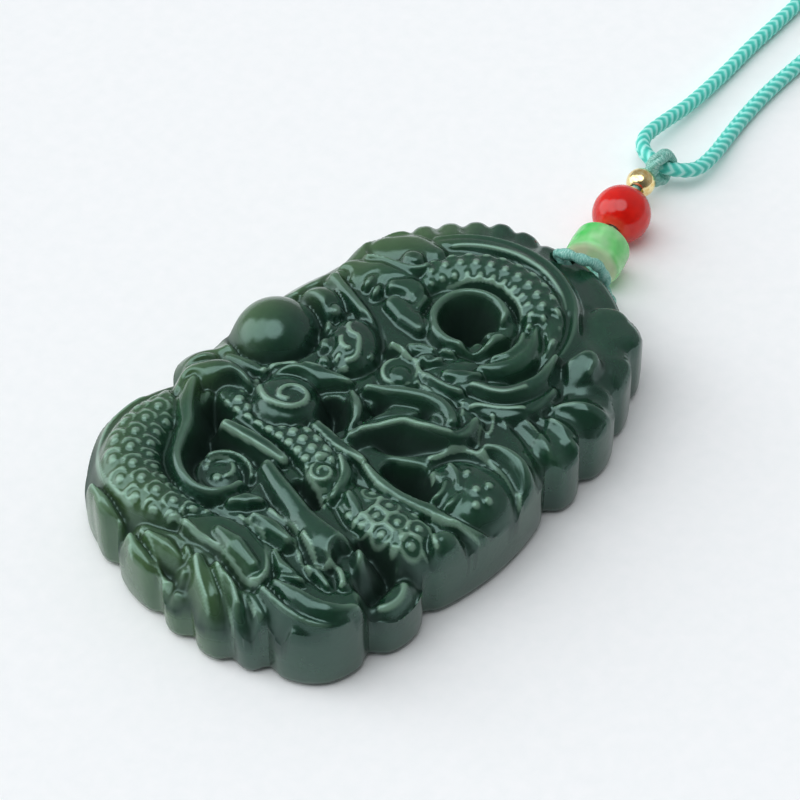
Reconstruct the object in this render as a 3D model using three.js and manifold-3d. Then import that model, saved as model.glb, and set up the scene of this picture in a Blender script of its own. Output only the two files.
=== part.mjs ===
// Carved jade pendant with a thread bail, three beads and a braided neck cord.
// Millimetres, +Z up: the flat back lies on z = 0, the carved face looks up, +Y points to the cord.
import * as THREE from "three";
import { mergeVertices } from "three/addons/utils/BufferGeometryUtils.js";
import Module from "manifold-3d";

const wasm = await Module();
wasm.setup();
const { degToRad, lerp, smoothstep } = THREE.MathUtils;

// Driving dimensions of the stone
const HALF_WIDTH = 20;
const HALF_LENGTH = 30;
const PITCH = 0.82;
const GROUND = 8.1;
const RIM_ROUND = 1.1;
const RIM_DROP = 0.9;
const MANE_ROUND = 3.0;
const MANE_DROP = 2.6;
const FALL_WIDTH = 3.2;
const FALL_DEPTH = { lower: 3.2, left: 1.9, crown: 0.3 };
const CROWN_FALL = { left: 0.5, middle: 1.5 };
const PRISM_HEIGHT = 14;

// How a form is cut: soft edge, ditch around it, and fall from its crest to its edge
const EDGE = 0.55;
const DITCH_DEPTH = 0.6;
const DITCH_WIDTH = 1.1;
const FALL = 1.1;
const PATH_STEPS = 8;

// Crest heights used over and over
const LOW = 8.6;
const MID = 9.2;
const HIGH = 9.9;
const PEAK = 10.6;

// The fin at the cord end, and the body that loops round a deep hole inside it
const FIN_CENTRE = [0.3, 13];
const FIN_RADIUS = 14.7;
const FIN_FROM = 154.6;
const FIN_STEP = -10.4;
const FIN_LOBES = 5;
const FIN_BULGE = 0.35;
const CROWN_BULGE = 1.5;
const LOOP = [0.45, 12.8];
const LOOP_RADIUS = 7.1;

// Thread, beads and neck cord
const THREAD_RADIUS = 0.45;
const CORE_RADIUS = 0.65;
const BORE_RADIUS = 0.95;
const LOOP_THREAD = 0.6;
const STRING_START = [0.33, 32.45, 3.05];
const STRING_TURN = 16.5;
const GREEN = { radius: 2.95, half: 1.85, corner: 0.7 };
const RED = { radius: 3.0, place: 6.2 };
const GOLD = { radius: 1.5, place: 11.25 };
const CORE_SPAN = [-3.2, 12.6];
const BAIL_RING = { radius: 1.65, place: [0.9, 14.5, -0.35], turn: -20 };
const CORD_RADIUS = 0.8;
const COIL = { centre: [-6.2, 100, 0], inner: 5.0, outer: 13.4, height: 3.6, corner: 0.7 };

function polar([x, y], radius, degrees) {
  return [x + radius * Math.cos(degToRad(degrees)), y + radius * Math.sin(degToRad(degrees))];
}

// A path on a circle whose radius changes evenly from r0 to r1
function arc(centre, r0, r1, from, to, count = 7) {
  return Array.from({ length: count }, (_, i) => {
    const share = i / (count - 1);
    return polar(centre, lerp(r0, r1, share), lerp(from, to, share));
  });
}

// Value of evenly spaced stops at a share of the way along
function stopAt(stops, share) {
  if (stops.length === 1) return stops[0];
  const place = share * (stops.length - 1);
  const i = Math.min(Math.floor(place), stops.length - 2);
  return lerp(stops[i], stops[i + 1], place - i);
}

// Distance of a point from a smooth path, and its share of the way along
function pathFinder(points) {
  const curve = new THREE.SplineCurve(points.map(([x, y]) => new THREE.Vector2(x, y)));
  const steps = PATH_STEPS * (points.length - 1);
  const samples = curve.getPoints(steps);
  return (x, y) => {
    let best = { distance: Infinity };
    for (let i = 0; i < steps; i++) {
      const [a, b] = [samples[i], samples[i + 1]];
      const run = [b.x - a.x, b.y - a.y];
      const off = [x - a.x, y - a.y];
      const raw = (off[0] * run[0] + off[1] * run[1]) / (run[0] ** 2 + run[1] ** 2);
      const k = Math.min(Math.max(raw, 0), 1);
      const distance = Math.hypot(off[0] - k * run[0], off[1] - k * run[1]);
      if (distance < best.distance) best = { distance, share: (i + k) / steps };
    }
    return best;
  };
}

// A raised form along a path: half widths and crest heights run from its first point to its last
function ridge(points, half, crest, fall = FALL) {
  const find = pathFinder(points);
  return (x, y, z) => {
    const { distance, share } = find(x, y);
    const reach = stopAt(half, share);
    const top = stopAt(crest, share) - fall * Math.min(distance / reach, 1) ** 2;
    const ditch = DITCH_DEPTH * (1 - smoothstep(distance - reach, 0, DITCH_WIDTH));
    return lerp(z - ditch, top, smoothstep(reach - distance, -EDGE, EDGE));
  };
}

// A recess along a path, cut down to a floor
function hollow(points, half, floor) {
  const find = pathFinder(points);
  return (x, y, z) => {
    const { distance, share } = find(x, y);
    const reach = stopAt(half, share);
    return lerp(z, Math.min(z, floor), 1 - smoothstep(distance, 0.45 * reach, reach));
  };
}

// An oval dome: half axes, turn in degrees, top height and fall to its edge
function dome([cx, cy], [rx, ry], turn, top, fall) {
  const [c, s] = [Math.cos(degToRad(turn)), Math.sin(degToRad(turn))];
  return (x, y, z) => {
    const u = ((x - cx) * c + (y - cy) * s) / rx;
    const v = ((y - cy) * c - (x - cx) * s) / ry;
    const out = Math.hypot(u, v);
    const surface = top - fall * (1 - Math.sqrt(Math.max(0, 1 - out * out)));
    const gap = (out - 1) * Math.min(rx, ry);
    const ditch = DITCH_DEPTH * (1 - smoothstep(gap, 0, DITCH_WIDTH));
    return lerp(z - ditch, surface, smoothstep(-gap, -EDGE, EDGE));
  };
}

// Outline of the stone, clockwise from the crown: where each lobe starts, and how far it bulges
const FIN_NOTCHES = Array.from({ length: FIN_LOBES + 1 }, (_, i) => [
  ...polar(FIN_CENTRE, FIN_RADIUS, FIN_FROM + FIN_STEP * i),
  i < FIN_LOBES ? FIN_BULGE : CROWN_BULGE,
]);
const LOBES = [
  ...FIN_NOTCHES,
  [9.0, 25.2, 1.5], [14.3, 20.6, 0.45], [16.2, 15.8, 0.95], [17.4, 9.6, 0.8], [17.4, 4.6, 1.35],
  [17.0, -11.9, 1.1], [16.5, -18.7, 2.2], [10.6, -26.2, 0.3], [7.4, -27.8, 0.5], [2.9, -28.4, 0.45],
  [-1.0, -28.3, 0.6], [-8.0, -26.9, 0.35], [-11.3, -26.1, 0.5], [-15.6, -22.9, 2.1],
  [-16.7, -10.2, 1.5], [-17.3, -4.4, 0.35], [-17.2, 4.8, 0.4], [-15.3, 12.1, 0.75],
];

function outlineShape() {
  const shape = new THREE.Shape();
  shape.moveTo(LOBES[0][0], LOBES[0][1]);
  LOBES.forEach(([x, y, bulge], i) => {
    const [nx, ny] = LOBES[(i + 1) % LOBES.length];
    const chord = Math.hypot(nx - x, ny - y);
    const push = (2 * bulge) / chord;
    shape.quadraticCurveTo((x + nx) / 2 - (ny - y) * push, (y + ny) / 2 + (nx - x) * push, nx, ny);
  });
  return shape;
}

const OUTLINE = outlineShape();
const OUTLINE_POINTS = OUTLINE.getPoints(6);

function rimGap(x, y) {
  let gap = Infinity;
  OUTLINE_POINTS.forEach((a, i) => {
    const b = OUTLINE_POINTS[(i + 1) % OUTLINE_POINTS.length];
    const run = new THREE.Vector2().subVectors(b, a);
    const off = new THREE.Vector2(x, y).sub(a);
    const k = run.lengthSq() > 0 ? Math.min(Math.max(off.dot(run) / run.lengthSq(), 0), 1) : 0;
    gap = Math.min(gap, off.addScaledVector(run, -k).length());
  });
  return gap;
}

// How far the crown slopes down to its rim, as a share
function crownShare(x, y) {
  return smoothstep(Math.hypot(x - FIN_CENTRE[0], y - FIN_CENTRE[1]), 9.6, 14.6) * smoothstep(y, 17, 23);
}

// The uncarved face: it falls towards the far left and lower rim, and at the crown
function groundHeight(x, y, gap) {
  const falls = smoothstep(4 - x - 0.35 * y, 0, 8) * (1 - smoothstep(x, 4, 9));
  const side = lerp(FALL_DEPTH.lower, FALL_DEPTH.left, smoothstep(y, -24, -19));
  const depth = falls * lerp(side, FALL_DEPTH.crown, smoothstep(y, 10, 15));
  const crown = lerp(CROWN_FALL.left, CROWN_FALL.middle, smoothstep(x, -7, -2));
  return GROUND - depth * (1 - smoothstep(gap, 0, FALL_WIDTH)) ** 1.5 - crown * crownShare(x, y);
}

// The rounding of the rim, broadest along the mane
function rimDrop(x, y, gap) {
  const mane = smoothstep(x, 5, 11) * smoothstep(y, -21, -16) * (1 - crownShare(x, y));
  const inward = Math.min(gap / lerp(RIM_ROUND, MANE_ROUND, mane), 1);
  return lerp(RIM_DROP, MANE_DROP, mane) * (1 - Math.sqrt(1 - (1 - inward) ** 2));
}

// Body of the upper dragon, looped round a deep hole, with its belly band
const upperBody = [
  ridge(arc(LOOP, 10.6, 9.4, 148, 0), [0.9, 1.2, 1.0], [LOW, MID, LOW], 0.5),
  ridge(arc(LOOP, LOOP_RADIUS, LOOP_RADIUS, 174, -4), [1.8, 2.35, 2.35, 1.9], [MID, HIGH, HIGH, MID], 1.3),
  ridge(arc(LOOP, 3.5, 3.5, 0, 360, 13), [0.65], [HIGH], 0.4),
  hollow([LOOP, [0.8, 12.7]], [3.0], 2.8),
];

// Leg, claw and cloud on the left, and the pearl
const PEARL = { centre: [-13.6, 0.3], radius: 4.5, top: 10.2 };
const leftSide = [
  ridge([[-13.6, 17.2], [-10.5, 17.2], [-8.2, 17.6]], [1.8, 1.6, 0.8], [7.8, LOW, LOW]),
  dome([-9.1, 15.5], [1.3, 1.1], 20, MID, 0.7),
  ridge([[-13.6, 11.8], [-10.5, 12.2], [-8.4, 13.6]], [1.9, 1.7, 0.9], [8.2, MID, MID]),
  ridge([[-13.6, 12.9], [-10.6, 13.7], [-8.3, 14.2], [-7.5, 15.4]], [0.45], [8.4, MID, HIGH], 0.4),
  dome([-6.0, 11.3], [2.0, 1.6], 30, HIGH, 0.7),
  dome([-4.9, 9.0], [2.1, 1.3], -20, MID, 0.7),
  ridge([[-10.5, 10.6], [-9.1, 8.6]], [0.6], [MID], 0.5),
  ridge([[-9.0, 10.4], [-7.4, 8.2]], [0.6], [MID], 0.5),
  dome([-14.2, 8.6], [1.7, 1.5], 0, 8.4, 0.9),
  dome([-13.6, 5.2], [2.6, 2.1], 30, LOW, 1.2),
  ridge([[-14.0, 8.8], [-11.0, 7.8], [-8.6, 7.2], [-5.2, 6.0]], [0.6, 0.8, 0.6], [LOW, MID, LOW], 0.6),
  dome([-7.0, 3.0], [3.4, 3.0], -40, MID, 1.1),
  ...[[-9.7, 4.4], [-8.6, 1.6], [-6.6, -0.5]].map((at) => dome(at, [1.2, 1.0], 0, MID, 0.7)),
  ridge([[-7.4, 4.2], [-5.8, 3.6], [-4.1, 2.2], [-4.0, 1.0], [-5.0, 0.6]], [0.45], [HIGH], 0.5),
  dome(PEARL.centre, [PEARL.radius, PEARL.radius], 0, PEARL.top, PEARL.radius),
];

// Mane locks of the upper head: root at the head, middle, and where each one runs over the rim
const MANE = [
  [[8.6, 16.5], [9.6, 20.5], [9.8, 26.5]],
  [[10.8, 14.4], [12.0, 19.0], [13.4, 24.5]],
  [[11.6, 12.6], [13.6, 15.6], [16.8, 20.0]],
  [[12.2, 10.6], [14.8, 12.0], [18.6, 14.4]],
  [[11.8, 8.2], [15.2, 8.6], [19.4, 8.6]],
  [[10.4, 5.6], [14.6, 5.6], [19.6, 3.6]],
];
const CHEEK_LOCK = [[11.8, 2.2], [14.2, 2.9], [17.0, 1.2], [18.8, -3.4]];
const mane = [
  ...MANE.map((lock) => ridge(lock, [0.7, 1.7, 2.4], [MID, MID, LOW], 1.0)),
  ridge(CHEEK_LOCK, [0.7, 1.2, 1.2, 0.9], [HIGH, HIGH, MID, MID]),
];

// Upper head: paw, belt, horns, brow, eye, open jaws and the curled whisker
const WHISKER_EYE = [-5.4, -6.0];
const head = [
  dome([14.6, -3.0], [4.3, 3.3], 0, MID, 0.8),
  ridge(arc([10.4, -5.4], 3.4, 1.8, 75, -60, 5), [0.5], [HIGH, MID], 0.5),
  dome([4.5, 6.0], [6.0, 3.2], 20, MID, 1.2),
  ridge([[5.2, 9.6], [6.3, 11.3], [6.4, 13.0], [5.7, 15.0]], [0.5, 0.7, 0.5], [MID], 0.5),
  ridge([[6.4, 7.3], [7.4, 9.6], [7.8, 12.0], [7.2, 14.5], [5.9, 16.5]], [0.9, 1.2, 1.1, 0.6], [HIGH]),
  ridge([[5.7, 5.2], [8.5, 6.7], [9.8, 7.8], [10.6, 9.4], [10.8, 11.0], [10.1, 14.0]],
    [0.9, 1.1, 1.2, 1.1, 0.6], [HIGH], 0.9),
  ...[[[-1.9, 6.3], [0.5, 7.9]], [[0.0, 5.4], [1.8, 7.3]], [[3.3, 5.6], [6.2, 8.5]]].map((tuft) =>
    ridge(tuft, [0.8, 0.8, 0.4], [HIGH], 0.7)),
  ridge([[-3.0, 5.2], [-0.3, 5.5], [3.4, 4.6], [5.9, 5.0]], [0.5], [HIGH], 0.5),
  dome([0.4, 2.9], [2.9, 1.8], 5, MID, 0.9),
  dome([-0.4, 3.0], [1.1, 1.0], 0, HIGH, 0.8),
  ridge([[-0.6, 0.1], [1.8, 0.9], [3.7, 2.5], [5.2, 3.0], [6.2, 2.5]], [0.6], [HIGH], 0.6),
  hollow([[-1.4, -4.2], [-0.6, -4.8]], [2.2], 4.6),
  hollow([[6.5, -5.6], [9.6, -5.2], [11.2, -5.2]], [1.5, 2.0, 1.4], 4.2),
  hollow([[5.3, 1.6], [3.6, 0.6], [1.6, -1.2]], [1.0, 1.2, 0.9], 6.6),
  ridge([[4.6, 0.6], [3.4, -1.0], [2.6, -2.6]], [0.9, 0.9, 0.6], [LOW], 0.5),
  hollow([[3.2, -4.4], [5.3, -3.5], [7.1, -2.0], [8.6, -0.6]], [0.9, 1.2, 1.2, 0.9], 6.2),
  ridge([[2.6, -5.6], [3.6, -3.4], [4.9, -1.7], [6.5, -0.9], [8.3, -0.1], [9.8, 0.8], [9.7, 3.0]],
    [0.9, 1.2, 1.3, 1.3, 1.2, 1.1, 0.7], [HIGH, PEAK, PEAK, HIGH, HIGH], 1.2),
  ridge([[-1.3, -1.9], [0.3, -2.6], [1.2, -4.0], [1.7, -5.6]], [0.5, 0.8, 0.7, 0.4], [MID], 0.7),
  ridge([[0.4, -0.9], [-2.4, -1.8], [-5.4, -2.9], [-7.4, -4.2]], [0.8, 1.6, 1.7, 1.5], [HIGH]),
  dome([-5.9, -5.9], [3.4, 3.2], 0, HIGH, 1.3),
  ridge(arc(WHISKER_EYE, 3.1, 0.9, 175, 520, 9), [0.55, 0.4], [HIGH, PEAK], 0.5),
];

// Scaly band across the middle, with a belt along its upper edge and a bead at its end
const bandLeft = [[-9.6, -11.0], [-6.1, -10.0], [-2.1, -9.5], [0.9, -9.5], [3.6, -10.6]];
const bandRight = [[6.2, -11.3], [9.4, -11.2], [12.9, -11.3], [16.6, -11.0]];
const middle = [
  ridge(bandLeft, [1.5, 1.8, 1.8, 1.5], [LOW, MID], 0.7),
  ridge(bandRight, [2.1, 2.4, 2.4, 1.8], [LOW, MID, LOW], 0.9),
  dome([3.3, -10.8], [1.6, 1.5], 0, MID, 0.6),
  dome([16.7, -9.0], [1.9, 1.75], 0, HIGH, 1.9),
  ridge([[-2.1, -6.9], [0.9, -7.2], [4.4, -7.4], [8.4, -8.3], [12.9, -7.8], [19.4, -5.4]],
    [0.7, 0.8, 0.8], [MID], 0.5),
  ridge([[-7.6, -12.5], [-4.1, -12.1], [-1.6, -12.0], [0.1, -12.2]], [0.7], [MID], 0.5),
];

// Lower dragon: ribbon arch with its scroll, scaly body, ear, snout, lips and recesses
const lowerBody = [
  [-14.1, -13.8], [-13.9, -17.0], [-12.7, -20.0], [-10.1, -22.2], [-6.6, -22.9], [-3.1, -22.6], [-0.6, -21.8],
];
const SCROLL_EYE = [-3.5, -16.9];
const lower = [
  ridge(lowerBody, [1.6, 2.5, 2.7, 2.5, 2.0, 1.4, 0.8], [MID, HIGH, HIGH, MID], 1.7),
  hollow([[-11.0, -9.8], [-9.4, -13.2], [-7.4, -15.4], [-4.2, -16.4]], [1.6, 2.1, 2.2, 2.2], 4.8),
  dome([-15.8, -7.9], [1.9, 2.4], 0, LOW, 1.2),
  ridge([[-9.9, -6.9], [-12.1, -7.4], [-14.0, -9.2], [-14.0, -11.5], [-12.3, -13.6], [-10.4, -15.2],
    [-9.3, -17.2], [-7.7, -18.8], [-5.4, -19.6], [-3.2, -19.2], [-1.8, -17.6]],
    [0.7, 1.2, 1.5, 1.3, 1.0, 0.8, 0.7, 0.7, 0.6], [HIGH]),
  ridge(arc(SCROLL_EYE, 1.9, 0.9, -20, 200, 6), [0.45], [MID], 0.5),
  dome([-3.3, -17.7], [0.8, 0.8], 0, MID, 0.6),
  hollow([[2.6, -13.3], [4.2, -13.5]], [1.0], 6.2),
  hollow([[11.6, -13.9], [13.4, -14.4], [14.4, -15.6], [14.4, -17.2]], [1.3, 1.8, 1.8, 1.3], 3.6),
  ridge([[-0.2, -17.2], [0.6, -18.2]], [0.9], [MID], 0.6),
  ridge([[-0.9, -14.2], [1.4, -15.0], [4.4, -16.0], [7.2, -16.7], [8.6, -16.7]],
    [0.7, 0.9, 1.0, 1.0, 1.1], [HIGH, HIGH, PEAK], 0.9),
  dome([10.1, -16.6], [2.5, 1.5], 2, PEAK, 1.3),
  ridge([[2.1, -18.8], [4.4, -18.4], [6.5, -18.7]], [0.6, 1.0, 0.7], [HIGH], 0.7),
  ridge([[7.2, -17.9], [8.9, -19.1], [10.9, -19.9], [12.5, -20.2]], [0.5, 0.9, 0.9, 0.6], [MID], 0.7),
  ridge([[6.2, -20.4], [8.4, -21.0], [10.2, -21.3]], [0.6], [MID], 0.6),
  ridge([[-1.8, -22.9], [1.9, -22.2], [4.6, -22.5], [6.0, -23.2]], [1.2, 2.0, 1.9, 1.4], [MID], 0.4),
  ridge([[0.6, -22.2], [3.2, -22.4], [5.6, -23.0]], [0.8, 1.0, 0.8], [PEAK], 0.9),
  ridge([[8.3, -24.9], [11.0, -25.2], [13.6, -24.6], [15.2, -23.2], [16.3, -21.0]], [0.5], [LOW], 0.4),
  ridge([[8.5, -23.3], [10.9, -23.3], [13.4, -23.0], [15.1, -22.0], [16.2, -19.8]],
    [0.7, 1.1, 1.1, 0.9, 0.5], [HIGH, HIGH, MID]),
  ridge([[16.0, -12.6], [16.4, -14.3], [16.4, -16.1], [15.9, -17.5]], [1.2, 1.5, 1.5, 1.0], [6.9], 1.0),
];

// Leaves and locks that run over the lower rim: path, half widths and crest heights
const RIM_LEAVES = [
  [[[-12.1, -25.2], [-9.7, -25.9], [-7.6, -26.0]], [0.5, 1.0, 0.6], [LOW, LOW, 7.8]],
  [[[-5.5, -26.6], [-3.7, -27.3], [-1.5, -27.5], [0.7, -26.9]], [0.6, 1.1, 1.1, 0.5], [8.0, 7.6, 6.9, 6.2]],
  [[[-4.1, -25.8], [-2.0, -25.6], [0.0, -25.5]], [0.5, 0.8, 0.5], [LOW, LOW, 8.0]],
  [[[6.5, -24.8], [8.3, -25.2], [10.1, -25.5], [11.4, -25.6]], [0.6, 1.0, 1.3, 1.4], [LOW, 8.4, 7.8, 6.2]],
  [[[3.2, -24.7], [5.7, -25.5], [7.5, -26.3], [9.0, -26.8]], [0.6, 1.1, 1.4, 1.4], [MID, 8.6, 7.6, 5.6]],
  [[[1.2, -25.2], [3.2, -26.1], [5.2, -26.7], [6.5, -27.3]], [0.6, 1.1, 1.3, 1.3], [MID, 8.4, 7.4, 5.4]],
];
const rimLeaves = RIM_LEAVES.map(([path, half, crest]) => ridge(path, half, crest, 1.2));

const FORMS = [
  ...upperBody, ...mane, ...leftSide, ...rimLeaves, ...lower, ...middle, ...head,
];

function carvedHeight(x, y) {
  const gap = rimGap(x, y);
  const carved = FORMS.reduce((z, form) => form(x, y, z), groundHeight(x, y, gap));
  return carved - rimDrop(x, y, gap);
}

// A closed block whose top is the carved surface on a square grid
function carvedBlock() {
  const nx = Math.round((2 * HALF_WIDTH) / PITCH);
  const ny = Math.round((2 * HALF_LENGTH) / PITCH);
  const positions = [];
  for (let j = 0; j <= ny; j++) {
    for (let i = 0; i <= nx; i++) {
      const x = lerp(-HALF_WIDTH, HALF_WIDTH, i / nx);
      const y = lerp(-HALF_LENGTH, HALF_LENGTH, j / ny);
      positions.push(x, y, carvedHeight(x, y));
    }
  }
  const at = (i, j) => j * (nx + 1) + i;
  const rise = (v, w) => Math.abs(positions[3 * v + 2] - positions[3 * w + 2]);
  const faces = [];
  for (let j = 0; j < ny; j++) {
    for (let i = 0; i < nx; i++) {
      const [a, b, c, d] = [at(i, j), at(i + 1, j), at(i + 1, j + 1), at(i, j + 1)];
      const cut = rise(a, c) < rise(b, d) ? [a, b, c, a, c, d] : [a, b, d, b, c, d];
      faces.push(...cut);
    }
  }
  const border = [
    ...Array.from({ length: nx }, (_, i) => at(i, 0)),
    ...Array.from({ length: ny }, (_, j) => at(nx, j)),
    ...Array.from({ length: nx }, (_, i) => at(nx - i, ny)),
    ...Array.from({ length: ny }, (_, j) => at(0, ny - j)),
  ];
  const base = positions.length / 3;
  border.forEach((v) => positions.push(positions[3 * v], positions[3 * v + 1], -1));
  const middleOfBase = positions.length / 3;
  positions.push(0, 0, -1);
  border.forEach((v, k) => {
    const next = (k + 1) % border.length;
    faces.push(v, base + k, base + next, v, base + next, border[next]);
    faces.push(base + k, middleOfBase, base + next);
  });
  const geometry = new THREE.BufferGeometry();
  geometry.setAttribute("position", new THREE.Float32BufferAttribute(positions, 3));
  geometry.setIndex(faces);
  return geometry;
}

function toSolid(geometry) {
  const bare = geometry.clone();
  ["normal", "uv"].forEach((name) => bare.deleteAttribute(name));
  const merged = mergeVertices(bare, 1e-4);
  return new wasm.Manifold(new wasm.Mesh({
    numProp: 3,
    vertProperties: new Float32Array(merged.attributes.position.array),
    triVerts: new Uint32Array(merged.index.array),
  }));
}

function toGeometry(solid) {
  const { vertProperties, triVerts } = solid.getMesh();
  const geometry = new THREE.BufferGeometry();
  geometry.setAttribute("position", new THREE.BufferAttribute(new Float32Array(vertProperties), 3));
  geometry.setIndex(new THREE.BufferAttribute(new Uint32Array(triVerts), 1));
  return geometry;
}

function tube(points, radius, sides, steps) {
  const path = new THREE.CatmullRomCurve3(points.map((p) => new THREE.Vector3(...p)));
  const section = new THREE.Shape(Array.from({ length: sides }, (_, i) => {
    const turn = (2 * Math.PI * i) / sides;
    return new THREE.Vector2(radius * Math.cos(turn), radius * Math.sin(turn));
  }));
  return new THREE.ExtrudeGeometry(section, { steps, extrudePath: path, bevelEnabled: false });
}

// The drilled hole near the crown, from the carved face out through the upper wall
const HOLE_MOUTH = [-0.2, 26.15, 7.5];
const HOLE_EXIT = [5.2, 28.2, 1.5];
const HOLE_RADIUS = LOOP_THREAD + 0.4;
const inHole = (share) => HOLE_MOUTH.map((v, k) => lerp(v, HOLE_EXIT[k], share));

function jadeGeometry() {
  const prism = new THREE.ExtrudeGeometry(OUTLINE, {
    depth: PRISM_HEIGHT, curveSegments: 6, bevelEnabled: false,
  });
  const drill = tube([HOLE_MOUTH, HOLE_EXIT], HOLE_RADIUS, 8, 1);
  return toGeometry(toSolid(carvedBlock()).intersect(toSolid(prism)).subtract(toSolid(drill)));
}

// Profiles of the beads, turned about their bore
function roundBead(radius, sides) {
  const edge = Math.asin(BORE_RADIUS / radius);
  const steps = sides / 2;
  const profile = Array.from({ length: steps + 1 }, (_, i) => {
    const turn = lerp(-Math.PI / 2 + edge, Math.PI / 2 - edge, i / steps);
    return new THREE.Vector2(radius * Math.cos(turn), radius * Math.sin(turn));
  });
  return new THREE.LatheGeometry([...profile, profile[0].clone()], sides);
}

function drumBead({ radius, half, corner }, sides) {
  const side = [
    [radius - corner, -half], [radius - 0.3 * corner, 0.3 * corner - half], [radius, corner - half],
    [radius, half - corner], [radius - 0.3 * corner, half - 0.3 * corner], [radius - corner, half],
  ];
  const profile = [[BORE_RADIUS, -half], ...side, [BORE_RADIUS, half], [BORE_RADIUS, -half]];
  return new THREE.LatheGeometry(profile.map(([r, y]) => new THREE.Vector2(r, y)), sides);
}

// Thread in the frame of the bead string: a pressed core, a ring round the cord and a loop through the stone
const STRING = new THREE.Object3D();
STRING.position.set(...STRING_START);
STRING.rotation.z = degToRad(STRING_TURN);
STRING.updateMatrixWorld();
const onString = (p) => STRING.worldToLocal(new THREE.Vector3(...p)).toArray();
const HOLE_LOOP = [
  [1.2, 29.4, 3.1], [2.6, 29.7, 3.2], [3.9, 29.4, 3.8], [3.95, 28.9, 5.2], [3.45, 28.3, 6.7],
  [2.8, 27.4, 7.5], [1.6, 26.75, 7.85], [0.9, 26.5, 7.85], [0.15, 26.4, 7.5],
  ...[0.15, 0.4, 0.65, 0.85].map(inHole),
  [5.0, 28.6, 1.7], [4.4, 29.6, 1.5], [2.8, 30.0, 2.2], [1.2, 29.5, 3.0],
].map(onString);

function bailGeometry() {
  const core = tube([[0, CORE_SPAN[0], 0], [0, CORE_SPAN[1], 0]], CORE_RADIUS, 8, 1);
  const ring = new THREE.TorusGeometry(BAIL_RING.radius, THREAD_RADIUS, 6, 16);
  ring.rotateY(Math.PI / 2);
  ring.rotateZ(degToRad(BAIL_RING.turn));
  ring.translate(...BAIL_RING.place);
  const loop = tube(HOLE_LOOP, LOOP_THREAD, 6, 40);
  return toGeometry(toSolid(core).add(toSolid(ring)).add(toSolid(loop)));
}

// Neck cord: down from the bail on both sides, along the table and out to the coil
const CORD_ROUTE = [
  [-17.1, 90.4, 0.9], [-14.6, 86.8, 0.85], [-11.6, 83.2, 0.85], [-9.4, 79.0, 0.85], [-8.9, 74.6, 0.85],
  [-8.6, 69.2, 0.85], [-8.1, 63.8, 0.85], [-7.6, 57.4, 1.25], [-7.5, 53.4, 1.85], [-7.25, 50.15, 2.45],
  [-6.8, 48.5, 2.65], [-5.6, 47.25, 2.8], [-3.9, 46.8, 2.8], [-2.2, 47.25, 2.6], [-1.0, 48.5, 2.25],
  [-0.55, 50.15, 1.85], [-0.9, 53.0, 1.4], [-1.7, 56.4, 1.0], [-2.4, 60.0, 0.85], [-2.9, 64.6, 0.85],
  [-3.1, 70.5, 0.85], [-2.9, 76.0, 0.85], [-1.4, 81.4, 0.85], [1.6, 86.0, 0.85], [4.7, 90.4, 1.3],
];

function coilGeometry() {
  const { inner, outer, height, corner } = COIL;
  const profile = [
    [inner + corner, 0], [outer - corner, 0], [outer, corner], [outer, height - corner],
    [outer - corner, height], [inner + corner, height], [inner, height - corner], [inner, corner],
    [inner + corner, 0],
  ].map(([r, z]) => new THREE.Vector2(r, z));
  const ring = new THREE.LatheGeometry(profile, 30);
  return ring.rotateX(Math.PI / 2);
}

// Materials
const jade = new THREE.MeshStandardMaterial({ color: 0x2f4a38, roughness: 0.25 });
const teal = new THREE.MeshStandardMaterial({ color: 0x3fb5a3, roughness: 0.8 });
const greenGlass = new THREE.MeshStandardMaterial({ color: 0x55d873, roughness: 0.15 });
const redGlass = new THREE.MeshStandardMaterial({ color: 0xd0200c, roughness: 0.12 });
const gold = new THREE.MeshStandardMaterial({ color: 0xe8c050, roughness: 0.2, metalness: 1 });

function piece(name, geometry, material) {
  const mesh = new THREE.Mesh(geometry, material);
  mesh.name = name;
  return mesh;
}

const beadString = new THREE.Group();
beadString.position.copy(STRING.position);
beadString.rotation.copy(STRING.rotation);
beadString.add(piece("bail_thread", bailGeometry(), teal));
beadString.add(piece("green_bead", drumBead(GREEN, 18), greenGlass));
const redBead = piece("red_bead", roundBead(RED.radius, 18), redGlass);
redBead.position.y = RED.place;
const goldBead = piece("gold_bead", roundBead(GOLD.radius, 14), gold);
goldBead.position.y = GOLD.place;
beadString.add(redBead, goldBead);

const coil = piece("cord_coil", coilGeometry(), teal);
coil.position.set(...COIL.centre);

const pendant = new THREE.Group();
pendant.add(piece("jade_pendant", jadeGeometry(), jade));
pendant.add(beadString);
pendant.add(piece("neck_cord", tube(CORD_ROUTE, CORD_RADIUS, 8, 56), teal));
pendant.add(coil);

export default pendant;
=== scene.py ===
"""A carved jade pendant on a braided neck cord, lying on a pale table."""

import math

import bmesh
import bpy
import numpy as np
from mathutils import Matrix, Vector


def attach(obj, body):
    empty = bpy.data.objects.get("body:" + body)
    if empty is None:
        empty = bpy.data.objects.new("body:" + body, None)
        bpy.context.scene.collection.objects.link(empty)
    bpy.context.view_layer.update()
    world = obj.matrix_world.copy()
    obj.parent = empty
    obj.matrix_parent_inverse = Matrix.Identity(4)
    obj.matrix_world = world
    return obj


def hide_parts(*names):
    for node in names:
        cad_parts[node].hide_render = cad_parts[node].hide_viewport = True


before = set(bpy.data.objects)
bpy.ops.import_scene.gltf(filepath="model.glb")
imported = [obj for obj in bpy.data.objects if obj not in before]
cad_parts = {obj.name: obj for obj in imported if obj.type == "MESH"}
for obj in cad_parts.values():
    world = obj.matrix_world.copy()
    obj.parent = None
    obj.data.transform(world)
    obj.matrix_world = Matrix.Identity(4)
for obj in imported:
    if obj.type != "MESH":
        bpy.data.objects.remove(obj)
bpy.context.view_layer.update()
bpy.ops.object.select_all(action="DESELECT")

MM = 0.001

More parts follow.
